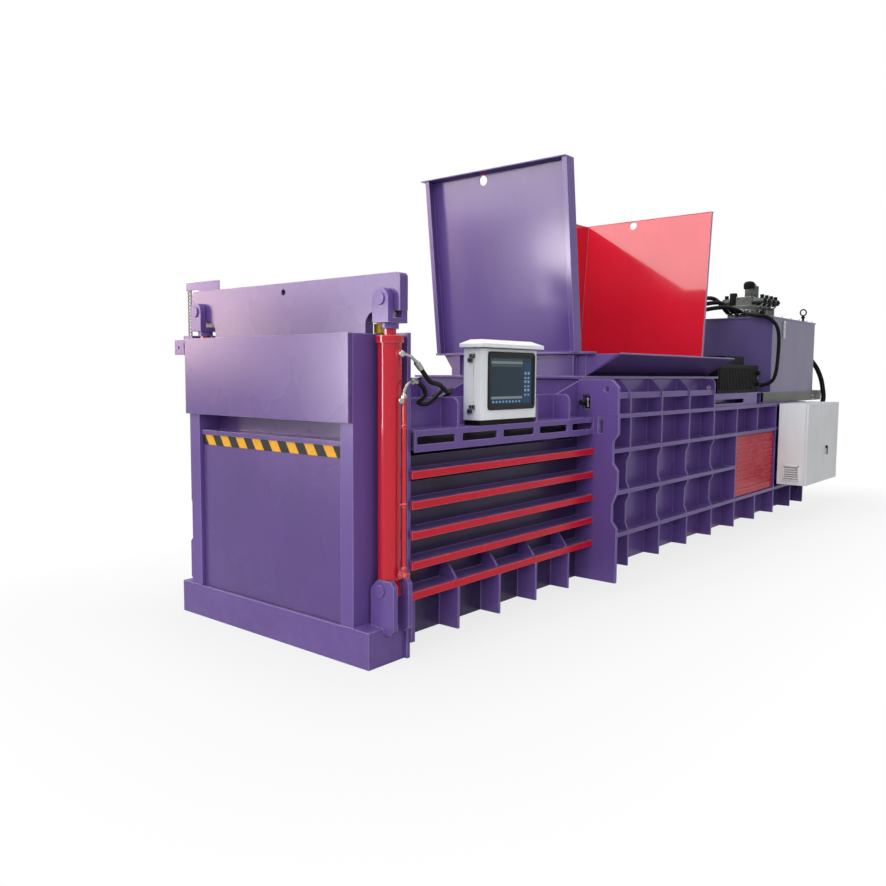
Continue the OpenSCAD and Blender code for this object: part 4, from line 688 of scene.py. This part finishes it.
def make_lift_pipes():
    """Return pipes of the gate cylinders, with clips and a round fitting at the foot."""
    bm = bmesh.new()
    up, foot, clip = (0, 0, 1), PIPE_FOOT_Z, 8
    for side in (-1, 1):
        y, axis = side * PIPE_Y, (0, side, 0)
        turned(bm, (CYL_X, y, foot + 10), up, [(0, 11), (902, 11)])
        turned(bm, (CYL_X, y, PIPE_HEAD_Z - 22), up, [(0, 17), (20, 17), (22, 14)], HEX)
        turned(bm, (CYL_X, y, foot + 20), up, [(0, 16), (20, 16), (24, 12)], HEX)
        turned(bm, (CYL_X, side * PORT_Y, foot), axis,
               [(0, 20), (10, 20), (12, 17), (44, 17), (46, 15), (54, 15)])
        turned(bm, (CYL_X, side * (PORT_Y + 2), foot), axis, [(0, 23), (12, 23)], HEX)
        turned(bm, (CYL_X - 34, y, foot), (1, 0, 0), [(0, 12), (3, 14), (65, 14), (68, 12)])
        near, far = sorted((side * (PORT_Y - 1.5), side * (PIPE_Y + 4)))
        for z in (856, 1270):
            block(bm, (CYL_X - 9, near, z), (CYL_X + 9, far, z + clip), 1.5)
            turned(bm, (CYL_X, y, z - 5), up, [(0, 14), (clip + 10, 14)])
    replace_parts(finish_piece("lift_pipe_runs", bm, "machine", "hydraulic"), "lift_pipes")


def make_breather():
    """Filler cap with a ring handle on its stem."""
    bm = bmesh.new()
    x, y, ring_up, ring_r, ring_turn, steps = 7480, -710, 122, 36.0, -0.87, 28
    turned(bm, (x, y, LID_TOP), (0, 0, 1),
           [(0, 31), (16, 31), (20, 26), (20, 13), (54, 13), (54, 22), (72, 22), (78, 14), (86, 12)])
    centre = Vector((x, y, LID_TOP + ring_up))
    across = Vector((math.cos(ring_turn), math.sin(ring_turn), 0.0))
    ring = [centre + (across * math.cos(a) + Vector((0, 0, 1)) * math.sin(a)) * ring_r
            for a in (2 * math.pi * i / steps for i in range(steps + 1))]
    tube(bm, ring, 8.0, 10)
    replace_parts(finish_piece("breather_ring", bm, "machine", "black"), "tank_breather")


def make_valve_fittings():
    """Caps, plugs, covers and screws on the valve block."""
    dark, pale = bmesh.new(), bmesh.new()
    cap = [(0, 30), (6, 33), (14, 33), (18, 12), (30, 10)]
    for x in (6700, 6850, 7000, 7150):
        for y, out, low, high in ((-510, -1, 6, 44), (-49, 1, -44, -6)):
            turned(dark, (x, y, 2404), (0, out, 0), cap, 20)
            block(dark, (x - 17, y + low, 2436), (x + 17, y + high, 2476), 4)
        for dx in (-38, 38):
            for dy in (-80, 80):
                hex_bolt(pale, (x + dx, VALVE_Y + dy, 2452), (0, 0, 1), 12.0, False)
    for x in (6850, 7020):
        turned(pale, (x, VALVE_Y, 2602), (0, 0, 1), [(0, 30), (10, 30), (14, 22), (30, 20)], HEX)
    turned(dark, (6850, VALVE_Y, 2560), (0, 0, 1), [(0, 62), (44, 66), (64, 62), (80, 46), (88, 20)], 28)
    turned(pale, (VALVE_X, VALVE_FRONT - 1, 2272), (0, -1, 0), [(0, 31), (26, 31), (30, 26)], HEX)
    turned(dark, (VALVE_X, VALVE_FRONT - 30, 2272), (0, -1, 0),
           [(0, 20), (24, 20), (26, 34), (50, 34), (54, 30)], 20)
    finish_piece("valve_caps", dark, "machine", "black")
    finish_piece("valve_screws", pale, "machine", "plated")


def make_valve_lines():
    """Short steel lines along the front of the valve block, a valve on its top and two black covers."""
    lines, cables = bmesh.new(), bmesh.new()
    route = [(0, -438, 2330), (0, -474, 2332), (10, -494, 2350), (34, -500, 2372), (70, -480, 2376),
             (92, -438, 2368)]
    for x in (6650, 6800, 6950, 7100):
        tube(lines, smooth_path([(x + dx, y, z) for dx, y, z in route], 6), 9.0, 10)
        turned(lines, (x, VALVE_FRONT, 2330), (0, -1, 0), [(0, 15), (16, 15), (19, 11)], HEX)
    block(cables, (7262, -380, 2220), (7330, -140, 2400), 5.0)
    block(cables, (6640, -200, 2352), (6700, -130, 2500), 5.0)
    turned(lines, (6930, VALVE_Y, 2352), (0, 0, 1),
           [(0, 36), (130, 36), (134, 28), (150, 28), (152, 40), (190, 40), (196, 30)], 20)
    finish_piece("valve_lines", lines, "machine", "dull")
    finish_piece("valve_cables", cables, "machine", "black")


def make_bezel_rim():
    """Raised rim with round corners around the screen."""
    bm = bmesh.new()
    x0, x1, z0, z1, wide, radius = 936.0, 1430.0, 1333.0, 1681.0, 22.0, 26.0
    back, side, front = SCREEN_Y, SCREEN_Y - 5.0, SCREEN_Y - 7.0
    section = ((0.0, back), (0.0, side), (2.0, front), (wide - 2.0, front), (wide, side), (wide, back))
    rings = []
    for inset, y in section:
        r = max(radius - inset, 6.0)
        left, right, foot, top = x0 + inset + r, x1 - inset - r, z0 + inset + r, z1 - inset - r
        centres = ((right, top), (left, top), (left, foot), (right, foot))
        rings.append([bm.verts.new((cx + r * math.cos(a), y, cz + r * math.sin(a)))
                      for turn, (cx, cz) in enumerate(centres)
                      for a in (math.pi / 2 * (turn + k / 6) for k in range(7))])
    skin_over(bm, rings + rings[:1], closed=False)
    finish_piece("screen_rim", bm, "screen_door", "bezel", 50)


def make_louvre():
    """White frame around the louvre of the cabinet; the glands and a cable under it."""
    bm = bmesh.new()
    back, front, y0, y1, z0, z1 = 6100, 6088, -1146, -986, 436, 600
    for low, high in (((y0, z0), (y1, z0 + 14)), ((y0, z1 - 14), (y1, z1)),
                      ((y0, z0), (y0 + 12, z1)), ((y1 - 12, z0), (y1, z1))):
        block(bm, (front, *low), (back, *high))
    finish_piece("louvre_frame", bm, "machine", "white")
    bm = bmesh.new()
    for x in (6260, 6350, 6440, 6530, 6620):
        turned(bm, (x, -1080, 390), (0, 0, -1), [(0, 22), (8, 22), (10, 17), (26, 17), (32, 12), (34, 8)], 12)
    loop = smooth_path([(6260, -1080, 362), (6262, -1080, 330), (6320, -1072, 300), (6430, -1030, 312),
                        (6520, -980, 340), (6560, -940, 380), (6560, -915, 420)], 6)
    tube(bm, loop, 9.0, 10)
    finish_piece("cabinet_glands", bm, "machine", "black")


def make_slot_plugs():
    """Black plug with a steel loop in the slot of each lug plate."""
    dark, pale = bmesh.new(), bmesh.new()
    face, half = JOINT_X - 1, 26
    for side in (-1, 1):
        y = side * 838
        turned(dark, (face, y, 1352), (-1, 0, 0), [(0, half), (10, half), (12, 20), (70, 20), (74, 15)], 20)
        block(dark, (PRESS_X + 1, y - half, 1310), (PRESS_X + 75, y + half, 1394), 4.0)
        for z in (1330, 1376):
            turned(pale, (face, y + side * half, z), (-1, 0, 0), [(0, 9), (26, 9)], 10)
        turned(pale, (face - 22, y + side * half, 1320), (0, 0, 1), [(0, 7), (66, 7)], 10)
    finish_piece("slot_plugs", dark, "machine", "black")
    finish_piece("slot_plug_loops", pale, "machine", "plated")


def make_hatch_hole_discs():
    """Black discs along the rows of the hatches: painted shade standing in for the small holes there."""
    bm = bmesh.new()
    rows, columns, tall, foot, start, face = 7, 11, 607.4, 357.3, 5010, 885.4
    for side in (-1, 1):
        for i in range(rows):
            for k in range(columns):
                turned(bm, (start + k * 98, side * face, foot + (i + 0.45) * tall / rows), (0, side, 0),
                       [(0, 7), (1.5, 7), (2.5, 5)], 8)
    finish_piece("hatch_hole_shade_discs", bm, "machine", "black")


def make_frame_bolts():
    """Bolts of the tank's lid and beams, and the plated fittings beside the cooler."""
    bm = bmesh.new()
    lid = LID_TOP + 10
    for side in (-1, 1):
        for x in (6230, 6500, 6800, 7100, 7400, 7600):
            hex_bolt(bm, (x, side * 780, lid), (0, 0, 1), 14.0)
        for z in (1270, 1310):
            hex_bolt(bm, (7650, side * 801, z), (0, side, 0), 20.0)
    for y, z in ((-700, 1430), (-700, 1520), (-660, 1590), (-610, 1500)):
        turned(bm, (5980, y, z), (1, 0, 0), [(0, 15), (14, 15), (16, 10), (34, 10), (36, 14), (46, 14)], HEX)
    for y in (-600, -300, 0, 300, 600):
        for x in (6166, 7634):
            hex_bolt(bm, (x, y, lid), (0, 0, 1), 14.0)
    finish_piece("frame_bolts", bm, "machine", "plated")


make_lift_hoses()
make_tank_hoses()
make_lift_pipes()
make_breather()
make_valve_fittings()
make_valve_lines()
make_bezel_rim()
make_louvre()
make_slot_plugs()
make_hatch_hole_discs()
make_frame_bolts()


def weld(bm, start, end, size=5.0):
    """A weld bead along a corner: a half-hidden tube whose radius ripples."""
    a, b = Vector(start), Vector(end)
    n = steps_of((b - a).length, 16.0)
    normal, other = square_to(b - a)
    waver = [size * random.uniform(0.9, 1.12) for _ in range(n + 1)]
    skin_over(bm, [circle(bm, a.lerp(b, i / n), normal, other, r, 6) for i, r in enumerate(waver)])


def finish_welds(name, bm):
    finish_piece(name, bm, "machine", "purple", 60)


RIB_XS = [667 + i * 399.5 for i in range(4)]
PRESS_RIB_XS = [2751 + min(i, 3) * 541 + max(i - 3, 0) * 562 for i in range(8)]
SHELF_TOPS = [370 + i * 164.5 for i in range(5)]


def make_frame_welds():
    bm = bmesh.new()
    rod_ears, sill = (109, 141, 223, 255), SILL_H
    for side in (-1, 1):
        y, ear, wall = side * POST_OUT, side * SILL_Y, side * WALL_OUT
        weld(bm, (POST_D, y, sill + 5), (POST_D, y, 1750), 7)
        for x in rod_ears:
            weld(bm, (x, side * 760, sill), (x, side * 846, sill), 6)
            weld(bm, (x, ear, sill - 24), (x, ear, sill - 2), 6)
        for x in (0, POST_D):
            weld(bm, (x, side * POST_IN, sill), (x, y, sill))
        weld(bm, (2, y, sill), (POST_D - 2, y, sill), 6)
        weld(bm, (CHAMBER_X, wall, 90), (CHAMBER_X, wall, 1240), 6)
    finish_welds("frame_welds", bm)


def make_chamber_welds():
    bm = bmesh.new()
    shelf, front, rear = TOP_SHELF_Z, CHAMBER_X + 1, JOINT_X - 1
    for side in (-1, 1):
        wall, out = side * WALL_OUT, side * RIB_OUT
        for x in RIB_XS:
            for face in (x - RIB_HALF, x + RIB_HALF):
                weld(bm, (face, wall, 88), (face, wall, 352))
                weld(bm, (face, wall, 370), (face, out, 370))
                weld(bm, (face, wall, shelf), (face, out, shelf))
                weld(bm, (face, wall, shelf + 5), (face, wall, 1405))
        for z in SHELF_TOPS:
            weld(bm, (front + 2, wall, z), (rear - 2, wall, z))
            for x in (front, rear):
                weld(bm, (x, wall, z), (x, out, z))
        weld(bm, (front + 2, wall, shelf), (rear - 2, wall, shelf))
        for x in (front, rear):
            weld(bm, (x, wall, shelf), (x, side * 896, shelf))
            weld(bm, (x, side * 900, 1130), (x, side * 900, 1240), 4)
    finish_welds("chamber_welds", bm)


def make_press_welds():
    bm = bmesh.new()
    bays = [(90, 325), (359, 648), (681, 965), (999, 1224)]
    hatch_rib, hatch_x = 5, 3900
    for side in (-1, 1):
        wall, out = side * WALL_OUT, side * 868
        for i, x in enumerate(PRESS_RIB_XS):
            for face in (x - RIB_HALF, x + RIB_HALF):
                for low, high in bays:
                    if i != hatch_rib or low not in (359, 681):
                        weld(bm, (face, wall, low), (face, wall, high))
                for z in (H4, H3, H2):
                    if z != H3 or x <= hatch_x:
                        weld(bm, (face, wall, z), (face, out, z))
                if i < 4:
                    weld(bm, (face, wall, H1), (face, side * 898, H1))
                    weld(bm, (face, wall, H1 + 4), (face, wall, 1514))
        for z, end in ((H4, 7060), (H3, 4916), (H2, 7060), (H1, 4300)):
            weld(bm, (PRESS_X + 3, wall, z), (end, wall, z))
        weld(bm, (PRESS_X, wall, 90), (PRESS_X, wall, 1250), 6)
        for z in (H4, H3, H2, H1):
            weld(bm, (PRESS_X, wall, z), (PRESS_X, side * 900, z))
        weld(bm, (PRESS_END, wall, 90), (PRESS_END, wall, 1250), 6)
    finish_welds("press_box_welds", bm)


def make_hopper_welds():
    bm = bmesh.new()
    front, wall, flange, foot = 2400, -WALL_OUT, 1536, 1716
    weld(bm, (front, -700, flange), (front, 560, flange))
    weld(bm, (front, -700, 1700), (front, 640, 1700))
    weld(bm, (PRESS_X, wall, 1518), (4640, wall, 1518))
    weld(bm, (2440, -700, 1538), (4600, -700, 1538))
    for x in (2410, 4618):
        weld(bm, (x, -655, foot), (x, 655, foot))
    weld(bm, (2416, 659, foot), (4612, 659, foot))
    for y in (-620, -608, -20, -8, 464, 550):
        weld(bm, (front, y, 1540), (front, y, 1696), 4)
    finish_welds("hopper_welds", bm)


make_frame_welds()
make_chamber_welds()
make_press_welds()
make_hopper_welds()


def screen_tile(bm, x0, x1, z0, z1, proud):
    """A thin tile of the screen picture, placed by millimetres from the lower left of the glass."""
    left, foot = 966.3, 1363.3
    block(bm, (left + x0, SCREEN_Y - proud, foot + z0), (left + x1, SCREEN_Y + 0.5, foot + z1), 0.0)


def make_screen():
    """The touch panel's picture: plain bars, a slate field and generic keys, without any lettering."""
    wide, tall = 433.4, 287.4
    groups = {
        "screen_back": [(0, wide, 0, tall)],
        "screen_dim": [(6, 330, 228, 244), (6, 330, 262, 276)],
        "screen_bar": [(6, 330, 246, 262), (6, 330, 34, 50)],
        "screen_blue": [(338, wide - 6, 6, tall - 30), (6, 332, 6, 30)],
        "screen_lit": [(352 + c * 34, 372 + c * 34, 52 + r * 26, 62 + r * 26 + (r % 2) * 6)
                       for c in range(2) for r in range(6)]
        + [(18 + i * 34, 34 + i * 34, 12, 24) for i in range(9)],
    }
    for layer, (key, tiles) in enumerate(groups.items()):
        bm = bmesh.new()
        for tile in tiles:
            screen_tile(bm, *tile, 0.3 + 0.25 * layer)
        finish_piece(key + "_tiles", bm, "screen_door", key)


make_screen()


def area_light(name, place, target, width, depth, watts, tint=(1.0, 1.0, 1.0), diffuse=True, glossy=True):
    """A soft window at place that faces target."""
    data = bpy.data.lights.new(name, "AREA")
    data.shape, data.size, data.size_y = "RECTANGLE", width, depth
    data.energy, data.color = watts, tint
    obj = bpy.data.objects.new(name, data)
    obj.location = place
    obj.rotation_mode = "QUATERNION"
    obj.rotation_quaternion = (Vector(target) - Vector(place)).to_track_quat("-Z", "Y")
    obj.visible_diffuse, obj.visible_glossy = diffuse, glossy
    bpy.context.scene.collection.objects.link(obj)


def seen_directly(w):
    """1 for rays from the camera, off gloss or through glass."""
    path = w.add("ShaderNodeLightPath").outputs
    both = w.math("ADD", path["Is Camera Ray"], path["Is Glossy Ray"], True)
    return w.math("ADD", both, path["Is Transmission Ray"], True)


def beyond_footprint(w, place):
    """How far a point of the floor lies outside the machine's footprint, in metres."""
    middle, half = (4.0, 0.0, 0.0), (4.0, 0.9, 0.0)
    distance = w.vector("ABSOLUTE", w.vector("SUBTRACT", place, middle))
    return w.vector("LENGTH", w.vector("MAXIMUM", w.vector("SUBTRACT", distance, half)))


def floor_material():
    """Grey to the light, and white to the camera: most of it under the machine, all of it farther out."""
    mat = bpy.data.materials.new("studio_floor")
    mat.use_nodes = True
    mat.node_tree.nodes.clear()
    w = Wiring(mat.node_tree)
    place = w.object_place()
    rough = w.remap(w.noise(place, 3.0, 4.0), 0.3, 0.7, 0.55, 0.7)
    base = w.add("ShaderNodeBsdfPrincipled", {"Base Color": (0.50, 0.50, 0.51, 1.0), "Roughness": rough})
    white = w.add("ShaderNodeEmission", {"Color": (1.0, 1.0, 1.0, 1.0), "Strength": 1.0})
    share = w.product(w.remap(beyond_footprint(w, place), 0.1, 1.8, 0.80, 1.0), seen_directly(w))
    mixed = w.add("ShaderNodeMixShader", {0: share, 1: base.outputs[0], 2: white.outputs[0]})
    w.add("ShaderNodeOutputMaterial", {"Surface": mixed.outputs[0]})
    return mat


def make_floor():
    """Wide round floor under the machine."""
    bm = bmesh.new()
    reach, sides = 70.0, 96
    bm.faces.new([bm.verts.new((math.cos(a) * reach, math.sin(a) * reach, 0.0))
                  for a in (2 * math.pi * i / sides for i in range(sides))])
    mesh = bpy.data.meshes.new("studio_floor")
    bm.to_mesh(mesh)
    bm.free()
    mesh.materials.append(floor_material())
    floor = bpy.data.objects.new("studio_floor", mesh)
    bpy.context.scene.collection.objects.link(floor)


def make_world():
    """White to the camera; for light and reflections a pale sky over a darker horizon."""
    world = bpy.data.worlds.new("studio")
    bpy.context.scene.world = world
    world.use_nodes = True
    world.node_tree.nodes.clear()
    w = Wiring(world.node_tree)
    up = w.parts(w.add("ShaderNodeTexCoord").outputs["Generated"])[2]
    sky = w.blend(w.remap(up, -0.05, 0.55), (0.45, 0.45, 0.47, 1.0), (0.95, 0.97, 1.0, 1.0))
    lit = w.add("ShaderNodeBackground", {"Color": sky, "Strength": 0.42})
    white = w.add("ShaderNodeBackground", {"Color": (1.0, 1.0, 1.0, 1.0), "Strength": 1.0})
    mixed = w.add("ShaderNodeMixShader", {0: seen_directly(w), 1: lit.outputs[0], 2: white.outputs[0]})
    w.add("ShaderNodeOutputWorld", {"Surface": mixed.outputs[0]})


def make_lights():
    """Three soft windows light the machine; the others are seen only in the gloss."""
    area_light("left_key", (-9.0, -1.6, 4.8), (1.5, 0.0, 1.4), 7.0, 5.0, 500, glossy=False)
    area_light("roof_panel", (1.5, 1.0, 8.5), (3.0, 0.0, 1.0), 11.0, 8.0, 680)
    area_light("front_fill", (-3.5, -8.0, 5.0), (0.8, -0.9, 1.2), 7.0, 4.0, 230, glossy=False)
    # the warm hall left of the gate, then bright windows over the hopper, its front panel and the lugs
    for name, place, target, width, depth, watts, tint in (
            ("gate_glow", (-3.6, 7.6, 3.0), (0.0, 0.2, 1.6), 3.2, 2.8, 380, (1.0, 0.74, 0.68)),
            ("hopper_glow", (-6.0, 5.6, 7.6), (4.7, 0.0, 2.8), 7.0, 4.0, 620, (1.0, 1.0, 1.0)),
            ("panel_glow", (-5.6, 5.2, 3.9), (2.3, 0.0, 2.8), 3.0, 2.2, 250, (1.0, 0.90, 0.92)),
            ("lug_glow", (-5.7, 3.4, 1.6), (2.2, -0.9, 1.4), 2.4, 1.6, 460, (1.0, 0.92, 0.94))):
        area_light(name, place, target, width, depth, watts, tint, diffuse=False)


make_floor()
make_world()
make_lights()

settings = bpy.context.scene.view_settings
settings.view_transform = "Standard"
